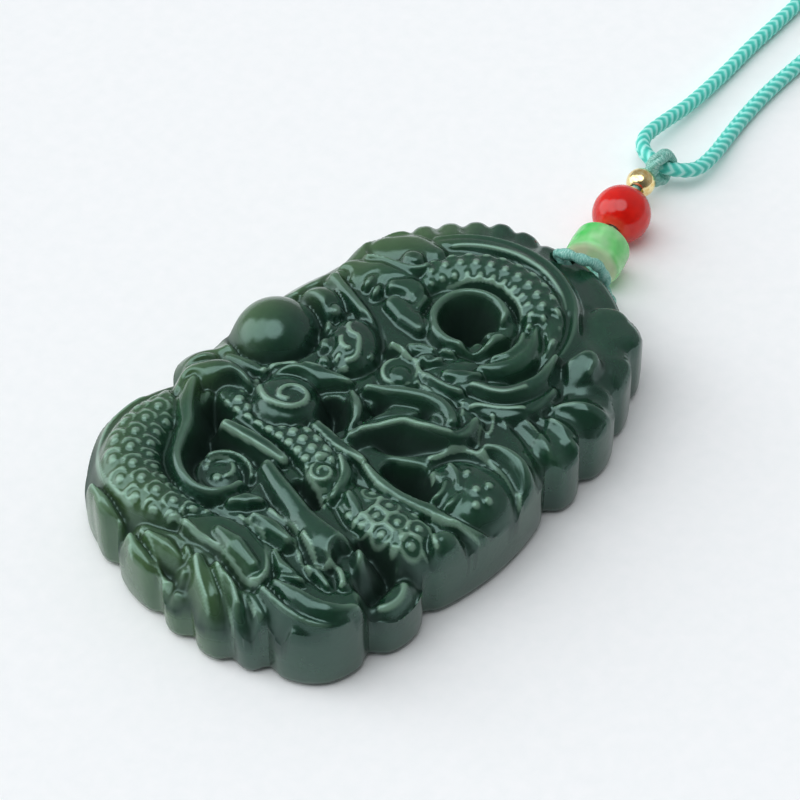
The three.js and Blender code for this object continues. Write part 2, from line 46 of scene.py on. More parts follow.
# Sizes shared with the solids, in millimetres
LOOP = (0.3, 13.0)
RING = (0.45, 12.8)
FIN_RADIUS = 14.7
FIN_FROM = 154.6
FIN_STEP = -10.4
FIN_LOBES = 5
FIN_BULGE = 0.35
STRING_START = (0.33, 32.45, 3.05)
STRING_TURN = math.radians(16.5)
CORD_DIAMETER = 1.6
COIL_CENTRE = (-6.2, 100.0)
COIL_OUTER = 12.5
COIL_PITCH = 1.65
COIL_TURNS = 4
COIL_STEPS = 24
COIL_ROW = 1.62
COIL_LIFT = 1.1


def linear(code):
    """A hex colour as linear red, green, blue and alpha."""
    parts = [int(code[i : i + 2], 16) / 255 for i in (1, 3, 5)]
    return [c / 12.92 if c <= 0.04045 else ((c + 0.055) / 1.055) ** 2.4 for c in parts] + [1.0]


def add(tree, kind, inputs=None, **settings):
    """One node, with its settings, and its inputs set or linked."""
    made = tree.nodes.new(kind)
    for name, value in settings.items():
        setattr(made, name, value)
    for name, value in (inputs or {}).items():
        if isinstance(value, bpy.types.NodeSocket):
            tree.links.new(value, made.inputs[name])
        else:
            made.inputs[name].default_value = value
    return made


def ramp(tree, factor, stops):
    """A colour ramp node with its stops as (place, hex colour)."""
    made = add(tree, "ShaderNodeValToRGB", {"Fac": factor})
    elements = made.color_ramp.elements
    while len(elements) < len(stops):
        elements.new(0.5)
    for element, (place, code) in zip(elements, stops):
        element.position = place
        element.color = linear(code)
    return made.outputs["Color"]


def pick(piece=None):
    """Deselect everything, then select one piece, if any, and make it active."""
    bpy.ops.object.select_all(action="DESELECT")
    if piece:
        piece.select_set(True)
        bpy.context.view_layer.objects.active = piece


def material(name):
    """A new material, its node tree and its shader."""
    made = bpy.data.materials.new(name)
    made.use_nodes = True
    tree = made.node_tree
    return made, tree, tree.nodes["Principled BSDF"]


# Camera: the photograph's view, from above the lower right end of the stone
camera_target = Vector((-2.99, 6.66, 0.0)) * MM
camera_place = Vector((136.1, -147.8, 230.9)) * MM
sight = (camera_target - camera_place).to_track_quat("-Z", "Y")
bpy.ops.object.camera_add(location=camera_place, rotation=sight.to_euler())
camera = bpy.context.object
camera.data.sensor_width = 36
camera.data.lens = 144
camera.data.clip_start = 0.01
bpy.context.scene.camera = camera


# Lines and ropes
def smooth(points, per=10, before=None, after=None):
    """A smooth line through points, leaving the first and reaching the last as its neighbours say."""
    p = np.array(points, float)
    first = 2 * p[0] - p[1] if before is None else np.array(before, float)
    last = 2 * p[-1] - p[-2] if after is None else np.array(after, float)
    p = np.vstack([first, p, last])
    t = np.linspace(0, 1, per, endpoint=False)[:, None]
    parts = []
    for a, b, c, d in zip(p, p[1:], p[2:], p[3:]):
        bend = 2 * a - 5 * b + 4 * c - d
        parts.append(0.5 * (2 * b + (c - a) * t + bend * t**2 + (3 * (b - c) + d - a) * t**3))
    return np.vstack([*parts, p[-2:-1]])


def evenly(line, step):
    """The same line with its points a fixed distance apart."""
    along = np.concatenate([[0], np.cumsum(np.linalg.norm(np.diff(line, axis=0), axis=1))])
    count = max(2, int(round(along[-1] / step)) + 1)
    places = np.linspace(0, along[-1], count)
    return np.stack([np.interp(places, along, line[:, k]) for k in range(line.shape[1])], axis=1), places


def rope(name, line, step, sides, radius, finish, up=(0, 0, 1)):
    """A tube along a line with a UV map; its radius depends on the way along it and the angle round it."""
    line, along = evenly(line, step)
    heading = np.gradient(line, axis=0)
    heading /= np.linalg.norm(heading, axis=1)[:, None]
    sideways = np.zeros_like(line)
    last = np.array(up, float)
    for i, h in enumerate(heading):
        last = last - h * (last @ h)
        last /= np.linalg.norm(last)
        sideways[i] = last
    across = np.cross(heading, sideways)
    turn = np.linspace(0, 2 * np.pi, sides, endpoint=False)
    r = radius(along[:, None], turn[None, :])
    rings = line[:, None, :] + r[:, :, None] * (
        np.cos(turn)[None, :, None] * sideways[:, None, :] + np.sin(turn)[None, :, None] * across[:, None, :]
    )
    count = len(line)
    i, j = np.meshgrid(np.arange(count - 1), np.arange(sides), indexing="ij")
    k = (j + 1) % sides
    quads = np.stack([i * sides + j, i * sides + k, (i + 1) * sides + k, (i + 1) * sides + j], axis=-1)
    faces = [list(map(int, q)) for q in quads.reshape(-1, 4)]
    faces.append(list(range(sides))[::-1])
    faces.append(list(range((count - 1) * sides, count * sides)))
    mesh = bpy.data.meshes.new(name)
    mesh.from_pydata((rings.reshape(-1, 3) * MM).tolist(), [], faces)
    uv = mesh.uv_layers.new(name="along")
    round_share = np.stack([j, j + 1, j + 1, j], axis=-1) / sides
    distance = along[np.stack([i, i, i + 1, i + 1], axis=-1)]
    flat = np.zeros((len(mesh.loops), 2), np.float32)
    body = round_share.size
    flat[:body, 0] = round_share.reshape(-1)
    flat[:body, 1] = distance.reshape(-1)
    uv.data.foreach_set("uv", flat.ravel())
    mesh.polygons.foreach_set("use_smooth", [True] * len(mesh.polygons))
    mesh.materials.append(finish)
    made = bpy.data.objects.new(name, mesh)
    bpy.context.scene.collection.objects.link(made)
    return made, line


# Braided nylon: glossy filaments in slanted ribs, painted paler on the crowns as painted highlight and deep
# teal between them as painted shade
braid, tree, skin = material("braided_nylon")
uv = add(tree, "ShaderNodeUVMap", uv_map="along").outputs["UV"]
RIB_PITCH = 1.0
RIB_SLANT = 0.9
BRAID_COLUMNS = 4
# Filaments are drawn coarser than the real ones, so that they show
FILAMENT = 0.12
split = add(tree, "ShaderNodeSeparateXYZ", {0: uv})
column = add(
    tree, "ShaderNodeMath", {0: split.outputs["X"], 1: BRAID_COLUMNS}, operation="MULTIPLY",
).outputs[0]
zigzag = add(tree, "ShaderNodeMath", {0: column, 1: 1.0}, operation="PINGPONG").outputs[0]
leaning = {0: zigzag, 1: RIB_SLANT, 2: split.outputs["Y"]}
slant = add(tree, "ShaderNodeMath", leaning, operation="MULTIPLY_ADD").outputs[0]
strand = add(tree, "ShaderNodeMath", {0: slant, 1: 2 * math.pi / RIB_PITCH}, operation="MULTIPLY").outputs[0]
wave = add(tree, "ShaderNodeMath", {0: strand}, operation="COSINE").outputs[0]
rib = add(tree, "ShaderNodeMapRange", {0: wave, 1: -1.0, 2: 1.0}).outputs[0]
filaments = add(
    tree, "ShaderNodeTexNoise", {"Vector": uv, "Scale": 1 / FILAMENT, "Detail": 2.0},
).outputs["Fac"]
# The rib wave paints the crowns paler as painted highlight and the valleys deeper teal as painted shade
tone = add(tree, "ShaderNodeMath", {0: filaments, 1: 0.35, 2: rib}, operation="MULTIPLY_ADD").outputs[0]
colour = ramp(tree, tone, [(0.1, "#34c0ae"), (0.55, "#58d4c4"), (0.95, "#86e6d8"), (1.0, "#a8f0e6")])
tree.links.new(colour, skin.inputs["Base Color"])
bump = add(tree, "ShaderNodeBump", {"Height": filaments, "Strength": 0.35, "Distance": 0.06 * MM})
tree.links.new(bump.outputs[0], skin.inputs["Normal"])
skin.inputs["Roughness"].default_value = 0.55
skin.inputs["Sheen Weight"].default_value = 0.15
skin.inputs["Sheen Roughness"].default_value = 0.4


def braid_radius(along, turn):
    """Four columns of slanted ribs round the cord, neighbours leaning opposite ways."""
    share = turn / (2 * np.pi) * BRAID_COLUMNS
    zig = 1 - np.abs(np.mod(share, 2) - 1)
    rib = 0.5 + 0.5 * np.cos(2 * np.pi * (along + RIB_SLANT * zig) / RIB_PITCH)
    valley = np.abs(np.sin(np.pi * share)) ** 0.6
    return CORD_DIAMETER / 2 * (0.80 + 0.12 * rib + 0.08 * valley)


# The cord leaves the bail on the left, winds down a flat coil and up again, and comes back on the right
left_strand = [
    (-3.9, 46.8, 2.8), (-5.6, 47.25, 2.8), (-6.8, 48.5, 2.65), (-7.25, 50.15, 2.45), (-7.5, 53.4, 1.85),
    (-7.6, 57.4, 1.25), (-8.1, 63.8, 0.85), (-8.6, 69.2, 0.85), (-8.9, 74.6, 0.85), (-9.4, 79.0, 0.85),
    (-11.6, 83.2, 0.85), (-14.6, 86.8, 0.85), (-17.1, 90.4, 0.9), (-18.4, 95.0, 1.0),
]
right_strand = [
    (6.0, 95.6, 2.2), (4.7, 90.4, 1.3), (1.6, 86.0, 0.85), (-1.4, 81.4, 0.85), (-2.9, 76.0, 0.85),
    (-3.1, 70.5, 0.85), (-2.9, 64.6, 0.85), (-2.4, 60.0, 0.85), (-1.7, 56.4, 1.0), (-0.9, 53.0, 1.4),
    (-0.55, 50.15, 1.85), (-1.0, 48.5, 2.25), (-2.2, 47.25, 2.6), (-3.9, 46.8, 2.8),
]
coil = []
for step in range(int((2 * COIL_TURNS + 0.5) * COIL_STEPS) + 1):
    wound = step / COIL_STEPS
    inward = min(wound, COIL_TURNS) - max(0.0, wound - COIL_TURNS - 0.5)
    climb = min(max((wound - COIL_TURNS) / 0.5, 0.0), 1.0)
    angle = math.radians(180 - 360 * wound)
    reach = COIL_OUTER - COIL_PITCH * inward
    height = COIL_LIFT + COIL_ROW * climb * climb * (3 - 2 * climb)
    x, y = COIL_CENTRE[0] + reach * math.cos(angle), COIL_CENTRE[1] + reach * math.sin(angle)
    coil.append((x, y, height))
cord_line = smooth(left_strand + coil + right_strand, 8, before=right_strand[-2], after=left_strand[1])
neck_cord, cord_points = rope("neck_cord_braid", cord_line, 0.2, 24, braid_radius, braid, up=(0.4, 0.3, 1))


# Outline of the stone: lobes between notches, clockwise from the fin, each with its bulge
def polar(centre, radius, degrees):
    """A point on a circle."""
    a = math.radians(degrees)
    return centre[0] + radius * math.cos(a), centre[1] + radius * math.sin(a)


LOBES = [
    [*polar(LOOP, FIN_RADIUS, FIN_FROM + FIN_STEP * i), FIN_BULGE if i < FIN_LOBES else 1.5]
    for i in range(FIN_LOBES + 1)
] + [
    (9.0, 25.2, 1.5), (14.3, 20.6, 0.45), (16.2, 15.8, 0.95), (17.4, 9.6, 0.8), (17.4, 4.6, 1.35),
    (17.0, -11.9, 1.1), (16.5, -18.7, 2.2), (10.6, -26.2, 0.3), (7.4, -27.8, 0.5), (2.9, -28.4, 0.45),
    (-1.0, -28.3, 0.6), (-8.0, -26.9, 0.35), (-11.3, -26.1, 0.5), (-15.6, -22.9, 2.1),
    (-16.7, -10.2, 1.5), (-17.3, -4.4, 0.35), (-17.2, 4.8, 0.4), (-15.3, 12.1, 0.75),
]
outline = []
for (x, y, bulge), (nx, ny, _) in zip(LOBES, LOBES[1:] + LOBES[:1]):
    push = 2 * bulge / math.hypot(nx - x, ny - y)
    mid = np.array([(x + nx) / 2 - (ny - y) * push, (y + ny) / 2 + (nx - x) * push])
    a, b = np.array([x, y]), np.array([nx, ny])
    for t in np.linspace(0, 1, max(8, round(math.dist(a, b) / 0.4)), endpoint=False):
        outline.append((1 - t) ** 2 * a + 2 * t * (1 - t) * mid + t * t * b)
outline = np.array(outline)


def outward_of(line):
    """Unit normals of a closed clockwise line."""
    forward = np.roll(line, -1, axis=0) - np.roll(line, 1, axis=0)
    return np.stack([-forward[:, 1], forward[:, 0]], axis=1) / np.linalg.norm(forward, axis=1)[:, None]


# Soft flutes: the walls of the near sides are drawn in at the notches
FLUTE_DEPTH = 0.55
FLUTE_WIDTH = 0.9
FLUTED_NOTCHES = slice(FIN_LOBES + 2, FIN_LOBES + 13)
fluted = np.zeros(len(outline))
for x, y, _ in LOBES[FLUTED_NOTCHES]:
    away = (outline[:, 0] - x) ** 2 + (outline[:, 1] - y) ** 2
    fluted = np.maximum(fluted, np.exp(-(away / FLUTE_WIDTH**2)))
outline = outline - FLUTE_DEPTH * fluted[:, None] * outward_of(outline)

# The relief: heights over a square grid, carved form by form from the back to the front
PITCH = 0.15
WIDTH = 38.8
LENGTH = 59.2
GROUND = 8.2
LOW, MID, HIGH, PEAK = 8.6, 9.2, 9.8, 10.5
bpy.ops.mesh.primitive_grid_add(x_subdivisions=int(WIDTH / PITCH), y_subdivisions=int(LENGTH / PITCH), size=1)
stone = bpy.context.object
stone.name = "carved_jade"
flat = np.zeros(len(stone.data.vertices) * 3)
stone.data.vertices.foreach_get("co", flat)
flat = flat.reshape(-1, 3)
columns = int(np.sum(np.abs(flat[:, 1] - flat[0, 1]) < 1e-6))
X = (flat[:, 0] * WIDTH).reshape(-1, columns)
Y = (flat[:, 1] * LENGTH).reshape(-1, columns)
gap = np.full(X.shape, 1e9)
within = np.zeros(X.shape, bool)
for a, b in zip(outline, np.roll(outline, -1, axis=0)):
    run = b - a
    u = np.clip(((X - a[0]) * run[0] + (Y - a[1]) * run[1]) / (run @ run), 0, 1)
    gap = np.minimum(gap, np.hypot(X - a[0] - u * run[0], Y - a[1] - u * run[1]))
    crossed = (run[1] * (X - a[0]) < (Y - a[1]) * run[0]) != (run[1] < 0)
    within ^= ((a[1] > Y) != (b[1] > Y)) & crossed
gap *= within


def arc(centre, r0, r1, start, end, count=9):
    """Points on a circle whose radius changes evenly."""
    last = count - 1
    return [
        polar(centre, r0 + (r1 - r0) * i / last, start + (end - start) * i / last) for i in range(count)
    ]


def stops(values, share):
    """Evenly spaced values read at a share of the way along."""
    values = np.atleast_1d(np.array(values, float))
    return np.interp(share, np.linspace(0, 1, len(values)), values)


def ease(x):
    """A smooth step from 0 to 1."""
    x = np.clip(x, 0, 1)
    return x * x * (3 - 2 * x)


# The ground falls away to the far left rim, most of all at its lower end, and stays high at the near right
FALL_WIDTH = 3.2
FALL_PLACES = [-24, -19, 10, 15]
FALL_DEPTHS = [3.4, 2.0, 2.0, 0.3]
falls = ease((4.0 - X - 0.35 * Y) / 8.0) * (1 - ease((X - 4.0) / 5.0))
relief = GROUND - np.interp(Y, FALL_PLACES, FALL_DEPTHS) * falls * (1 - ease(gap / FALL_WIDTH)) ** 1.5

# The crown slopes down to its rim, less on the left, where the fin is cut into lobes
CROWN_FALL = [0.5, 1.5]
FIN_CUT = 0.4
reach = np.hypot(X - LOOP[0], Y - LOOP[1])
lobe = (np.degrees(np.arctan2(Y - LOOP[1], X - LOOP[0])) - FIN_FROM) / FIN_STEP
from_notch = np.abs(lobe - np.round(lobe)) * math.radians(-FIN_STEP) * reach
crown = ease((reach - 9.6) / 5.0) * ease((Y - 17.0) / 6.0)
relief -= (CROWN_FALL[0] + (CROWN_FALL[1] - CROWN_FALL[0]) * ease((X + 7.0) / 5.0)) * crown
on_fin = np.abs(lobe - FIN_LOBES / 2) < 3
relief -= FIN_CUT * on_fin * ease((reach - 11.0) / 3.0) * (1 - ease(from_notch / 0.9))

# Thin raised and engraved lines are kept on a layer of their own, which is polished less
lines = np.zeros(X.shape)

# Places are given as the camera sees them on a level plane; forms above or below it move along the sight
PLANE = 9.5
EYE = np.array(camera_place) / MM


def seen(points, heights):
    """Places on the level plane, moved along the sight to their heights."""
    points = np.array(points, float)
    share = (np.broadcast_to(heights, len(points)) - PLANE) / (EYE[2] - PLANE)
    return points + share[:, None] * (EYE[:2] - points)


def surface_at(points):
    """Heights of what is carved so far."""
    row = np.clip(np.searchsorted(Y[:, 0], points[:, 1]), 0, X.shape[0] - 1)
    col = np.clip(np.searchsorted(X[0], points[:, 0]), 0, X.shape[1] - 1)
    return relief[row, col]


def on_surface(points):
    """Points moved along the sight until they lie on what is carved so far."""
    moved = np.array(points, float)
    for _ in range(4):
        moved = seen(points, surface_at(moved))
    return moved


def grid_part(low, high):
    """Rows and columns of the grid between two corners."""
    rows = slice(*np.searchsorted(Y[:, 0], [low[1], high[1]]))
    cols = slice(*np.searchsorted(X[0], [low[0], high[0]]))
    return rows, cols


def follow(points, half, margin):
    """The grid near a smooth path, and there the distance, side offset, way along and its share."""
    line = smooth(points, 8)
    reach = np.max(half) + margin
    spot = grid_part(line.min(0) - reach, line.max(0) + reach)
    x, y = X[spot], Y[spot]
    best = np.full(x.shape, 1e9)
    offset, along = np.zeros(x.shape), np.zeros(x.shape)
    start = 0.0
    for a, b in zip(line, line[1:]):
        run = b - a
        length = math.hypot(*run)
        u = np.clip(((x - a[0]) * run[0] + (y - a[1]) * run[1]) / length**2, 0, 1)
        dx, dy = x - a[0] - u * run[0], y - a[1] - u * run[1]
        distance = np.hypot(dx, dy)
        nearer = distance < best
        best = np.where(nearer, distance, best)
        offset = np.where(nearer, np.sign(run[0] * dy - run[1] * dx) * distance, offset)
        along = np.where(nearer, start + u * length, along)
        start += length
    return spot, best, offset, along, along / start


EDGE = 0.26
DITCH = 0.5
DITCH_WIDTH = 0.55


def raise_form(points, half, crest, fall=0.8, lean=0.0, ditch=DITCH):
    """A rounded form along a path, with a cut line round it; lean moves its crest to the left or right."""
    line = seen(points, stops(crest, np.linspace(0, 1, len(points))))
    spot, distance, offset, _, share = follow(line, half, DITCH_WIDTH + EDGE)
    reach = stops(half, share)
    u = np.clip(offset / reach, -1, 1)
    v = np.where(u > lean, (u - lean) / (1 - lean), (lean - u) / (1 + lean))
    v = np.maximum(v, np.clip(distance / reach, 0, 1) * (np.abs(lean) < 0.01))
    top = stops(crest, share) - fall * (1 - np.sqrt(np.maximum(0, 1 - 0.92 * v**2))) / 0.717
    z = relief[spot] - ditch * (1 - ease((distance - reach) / DITCH_WIDTH))
    inside = ease((reach - distance + EDGE) / (2 * EDGE))
    relief[spot] = z * (1 - inside) + top * inside
    lines[spot] *= 1 - inside


def raise_dome(centre, axes, turn, top, fall, ditch=DITCH):
    """An oval dome with a cut line around it."""
    c, s = math.cos(math.radians(turn)), math.sin(math.radians(turn))
    centre = seen([centre], top)[0]
    reach = max(axes) + DITCH_WIDTH + EDGE
    spot = grid_part(centre - reach, centre + reach)
    x, y = X[spot] - centre[0], Y[spot] - centre[1]
    out = np.hypot((x * c + y * s) / axes[0], (y * c - x * s) / axes[1])
    away = (out - 1) * min(axes)
    surface = top - fall * (1 - np.sqrt(np.maximum(0, 1 - np.minimum(out, 1) ** 2)))
    z = relief[spot] - ditch * (1 - ease(away / DITCH_WIDTH))
    inside = ease((EDGE - away) / (2 * EDGE))
    relief[spot] = z * (1 - inside) + surface * inside
    lines[spot] *= 1 - inside


def sink(points, half, floor, wall=0.55):
    """A recess along a path with steep rounded walls."""
    spot, distance, _, _, share = follow(points, half, 0.3)
    reach = stops(half, share)
    depth = 1 - ease((distance - wall * reach) / ((1 - wall) * reach))
    relief[spot] = relief[spot] * (1 - depth) + np.minimum(relief[spot], floor) * depth
    lines[spot] *= 1 - depth


def add_line(points, half, height):
    """A thin raised line laid over what is there, or an engraved one where the height is below zero."""
    spot, distance, _, _, share = follow(on_surface(points), half, 0.1)
    reach = stops(half, share)
    ends = ease(np.minimum(share, 1 - share) / 0.06)
    lines[spot] += stops(height, share) * ends * np.maximum(0, 1 - (distance / reach) ** 2)


def edge_lines(points, half, inset, height, width=0.26):
    """Two raised lines along the borders of a band."""
    spot, distance, offset, _, share = follow(on_surface(points), half, inset + width)
    reach = stops(half, share) - inset
    beside = np.abs(distance - np.abs(offset)) < 1e-6
    lines[spot] += height * beside * np.maximum(0, 1 - ((np.abs(offset) - reach) / width) ** 2)


def studs(spots, radius, height, ring=0.0):
    """Small round bosses, each in a raised ring where ring is its radius."""
    reach = max(radius, ring) + 0.4
    for middle in on_surface(spots):
        spot = grid_part(middle - reach, middle + reach)
        out = np.hypot(X[spot] - middle[0], Y[spot] - middle[1])
        lines[spot] += height * np.sqrt(np.maximum(0, 1 - (out / radius) ** 2))
        if ring:
            lines[spot] += 0.7 * height * np.maximum(0, 1 - ((out - ring) / 0.34) ** 2)


def dot_scales(points, half, pitch, radius, height, ring=0.0):
    """Round studs in staggered rows on a band, each in a raised ring where ring is its radius."""
    spot, distance, offset, along, share = follow(on_surface(points), half, 0.2)
    across = 0.87 * pitch
    row = np.round(offset / across)
    shift = along / pitch - 0.5 * np.mod(row, 2)
    out = np.hypot((shift - np.round(shift)) * pitch, offset - row * across)
    lift = height * np.sqrt(np.maximum(0, 1 - (out / radius) ** 2))
    if ring:
        behind = ease(0.7 - (shift - np.round(shift)) * pitch / ring)
        lift += 0.9 * height * behind * np.maximum(0, 1 - ((out - ring) / 0.3) ** 2)
    fade = ease((stops(half, share) - distance) / 0.35) * ease(np.minimum(share, 1 - share) / 0.04)
    lines[spot] += lift * fade


# Body of the upper dragon: fin, belly ridges, scaled ring and the deep hole it winds round
belly = arc(RING, 11.2, 9.6, 148, -2, 13)
raise_form(arc(RING, 10.4, 9.3, 150, 0, 13), [0.9, 1.3, 1.2], [LOW, MID, LOW], 0.6, ditch=0.1)
raise_form(belly, [0.3, 0.45, 0.45], [LOW, MID, LOW], 0.4, ditch=0.15)
loop_body = arc(RING, 7.1, 7.1, 176, -4, 13)
raise_form(loop_body, [1.8, 2.35, 2.35, 1.9], [MID, HIGH, HIGH, MID], 1.5, lean=0.15, ditch=0.3)
add_line(arc(RING, 9.5, 9.2, 146, 40, 11), 0.3, 0.3)
dot_scales(loop_body, [1.5, 2.2, 2.2, 1.4], 1.5, 0.46, 0.3)
add_line(arc(RING, 4.95, 4.85, 165, 15, 11), 0.28, 0.35)
raise_form(arc(RING, 3.5, 3.5, 0, 360, 17), 0.65, HIGH, 0.5, ditch=0.55)
sink([RING, (0.5, 12.75)], 2.95, 2.6, 0.85)

# Mane of the upper head: broad leaves over the upper right rim, and strands that sweep back from the horns
mane_pad = [(10.6, 21.0), (14.4, 18.2), (17.0, 13.0), (18.0, 7.8), (17.6, 3.2)]
raise_form(mane_pad, [2.4, 4.0, 4.0, 3.9, 2.6], [8.2, 8.8, 9.0, 9.0, 8.8], 0.5, ditch=0.0)
MANE_CUTS = [
    (
        [(8.0, 21.4), (9.4, 19.6), (11.2, 18.6), (12.9, 17.7), (14.6, 15.9)],
        [0.8, 1.1, 0.8], [-0.2, -0.3, -0.1],
    ),
    (
        [(12.9, 9.1), (13.7, 10.8), (15.3, 12.8), (17.1, 13.9), (19.4, 15.0)],
        [0.7, 1.2, 1.6], [-0.4, -0.7, -1.0],
    ),
    (
        [(13.3, 8.0), (14.6, 8.8), (16.2, 9.8), (17.8, 10.5), (20.2, 11.0)],
        [0.6, 1.1, 1.5], [-0.4, -0.6, -0.9],
    ),
    (
        [(12.4, 7.3), (15.2, 6.9), (17.7, 6.4), (20.4, 5.6)],
        [0.6, 1.1, 1.5], [-0.4, -0.6, -0.9],
    ),
    (
        [(12.3, 4.9), (15.6, 4.2), (17.9, 3.5), (20.4, 2.2)],
        [0.6, 1.0, 1.4], [-0.4, -0.6, -0.8],
    ),
]
for cut_line, half, depth in MANE_CUTS:
    add_line(cut_line, half, depth)
for strand in (
    [(13.8, 8.9), (14.4, 9.9), (15.4, 11.2), (16.6, 12.2)],
    [(12.4, 6.5), (14.0, 7.4), (15.8, 8.2), (17.4, 8.8)],
    [(12.2, 5.9), (13.8, 6.1), (15.4, 5.9), (17.2, 5.5)],
    [(10.4, 4.4), (12.6, 4.4), (14.8, 3.8), (16.8, 3.0)],
):
    add_line(strand, [0.26, 0.32, 0.22], [0.25, 0.25, 0.05])
facet = [(13.7, 11.4), (13.0, 13.4), (12.4, 15.0), (12.2, 16.3)]
raise_form(facet, [0.2, 0.9, 1.6, 1.2], [8.0, 9.0, 9.9, 10.4], 0.1, ditch=0.15)
cheek_lock = [(12.1, 1.6), (13.6, 2.2), (15.6, 2.2), (17.6, 1.3), (19.4, -0.6)]
raise_form(cheek_lock, [0.4, 0.8, 1.0, 1.1, 1.0], [HIGH, HIGH, MID], 1.5, lean=0.35)

# Left side: curled leg, claw, clouds and the pearl
raise_form([(-11.8, 14.6), (-10.0, 16.4), (-7.8, 17.2)], [2.0, 2.0, 1.2], [8.0, LOW, MID], 0.9, ditch=0.0)
raise_form([(-12.0, 10.2), (-10.4, 11.5), (-8.0, 13.2)], [2.0, 2.3, 1.6], [LOW, MID, MID], 1.0, ditch=0.15)
raise_dome((-9.0, 15.3), (1.25, 1.0), 20, MID + 0.1, 0.5, 0.15)
whisker = [(-12.6, 12.6), (-11.2, 13.2), (-9.6, 13.6), (-8.2, 14.0), (-7.4, 14.8), (-7.3, 15.5)]
raise_form(whisker, [0.25, 0.35, 0.4, 0.48, 0.42], [LOW + 0.3, HIGH], 0.4, ditch=0.25)
raise_form([(-7.9, 11.3), (-6.4, 12.2), (-5.2, 11.6)], [0.8, 1.2, 1.0], [MID + 0.2], 0.3, ditch=0.3)
raise_form([(-6.4, 9.6), (-4.4, 9.4), (-2.4, 8.8)], [1.0, 1.4, 0.8], [MID + 0.1], 0.4, ditch=0.3)
raise_form([(-4.5, 11.9), (-4.2, 10.6)], [0.5, 0.6], [MID], 0.2, ditch=0.25)
raise_dome((-10.0, 10.1), (0.5, 0.95), 10, MID, 0.4, 0.3)
raise_dome((-8.7, 9.7), (0.45, 0.9), 15, MID, 0.4, 0.3)
raise_dome((-12.0, 5.1), (2.6, 2.9), 15, MID + 0.2, 2.6)
raise_dome((-12.9, 8.5), (0.95, 1.3), 0, LOW + 0.2, 0.9)
arm = [(-12.9, 8.3), (-10.6, 7.6), (-8.2, 6.9), (-6.0, 6.0), (-4.3, 4.8), (-3.3, 3.6)]
raise_form(arm, [0.7, 0.65, 0.6, 0.55, 0.4], [LOW + 0.2, MID, MID], 0.5)
raise_dome((-6.1, 3.3), (2.7, 3.7), 40, HIGH, 1.9)
for lump in ((-9.9, 5.1), (-9.1, 3.0), (-7.5, 1.2), (-6.1, -0.5)):
    raise_dome(lump, (0.95, 0.75), -30, MID, 0.6, 0.25)
raise_dome((-3.2, 2.8), (0.4, 0.6), 30, MID, 0.4, 0.2)
claw = [
    (-7.4, 4.7), (-7.2, 4.0), (-6.4, 3.6), (-5.6, 3.7), (-4.8, 2.9), (-4.1, 1.9), (-4.0, 1.0), (-4.6, 0.4),
]
add_line(claw, 0.34, 0.42)
add_line([(-7.0, 2.7), (-6.3, 2.0), (-5.5, 1.8), (-5.1, 2.2)], 0.34, 0.4)
add_line([(-5.3, 0.9), (-5.2, 0.2), (-4.9, -0.2)], 0.3, 0.35)
raise_form([(-13.2, -6.2), (-11.4, -5.6), (-9.4, -5.4)], [0.6, 0.9, 0.6], [8.0, LOW], 0.6)
raise_dome((-13.8, 0.9), (4.5, 4.5), 0, 10.2, 4.5, 0.8)

# Leaves and locks over the lower rim
RIM_LEAVES = [
    (
        [(-11.6, -25.9), (-9.2, -26.6), (-6.6, -27.3)],
        [0.4, 0.9, 0.5], [LOW, LOW, 7.8], 0.7,
    ),
    (
        [(-4.6, -27.8), (-2.6, -28.8), (0.0, -29.5), (2.6, -29.4)],
        [0.5, 1.0, 1.0, 0.3], [8.0, 7.6, 6.9, 6.2], 0.6,
    ),
    (
        [(-3.6, -26.5), (-1.5, -26.3), (0.9, -26.7)],
        [0.4, 0.8, 0.3], [LOW, LOW, 8.0], 0.6,
    ),
    (
        [(0.1, -25.4), (1.1, -25.9), (1.7, -26.5)],
        [0.3, 0.4, 0.3], [LOW, 8.2], 0.4,
    ),
    (
        [(3.3, -29.9), (4.4, -29.7), (5.6, -29.9)],
        [0.4, 0.7, 0.4], [6.0, 5.8], 0.5,
    ),
    (
        [(7.0, -25.5), (8.9, -26.0), (11.1, -26.8), (13.3, -28.1)],
        [0.5, 1.0, 1.3, 1.4], [LOW, 8.4, 7.8, 6.2], 1.3,
    ),
    (
        [(3.4, -24.9), (6.2, -26.2), (8.6, -27.8), (11.3, -29.8)],
        [0.5, 1.1, 1.4, 1.4], [MID, 8.6, 7.6, 5.6], 1.4,
    ),
    (
        [(1.4, -25.4), (3.8, -26.9), (6.4, -28.3), (8.9, -30.5)],
        [0.5, 1.1, 1.3, 1.3], [MID, 8.4, 7.4, 5.4], 1.4,
    ),
]
for leaf, half, crest, fall in RIM_LEAVES:
    raise_form(leaf, half, crest, fall)
LEAF_RIMS = [
    [(-4.1, -28.5), (-2.1, -29.8), (0.5, -30.2), (2.6, -29.5)],
    [(-4.4, -27.0), (-1.8, -28.0), (0.8, -28.8), (2.6, -29.3)],
    [(1.3, -25.6), (3.1, -27.0), (5.7, -28.6), (7.9, -30.4)],
    [(2.0, -25.5), (3.9, -26.3), (6.5, -27.9)],
    [(3.4, -24.9), (5.4, -26.2), (7.6, -27.6), (9.4, -29.0)],
    [(4.7, -25.5), (6.2, -25.8), (8.4, -27.2)],
    [(7.0, -25.5), (8.3, -26.2), (10.1, -26.8)],
]
for leaf_rim in LEAF_RIMS:
    add_line(leaf_rim, 0.24, 0.3)

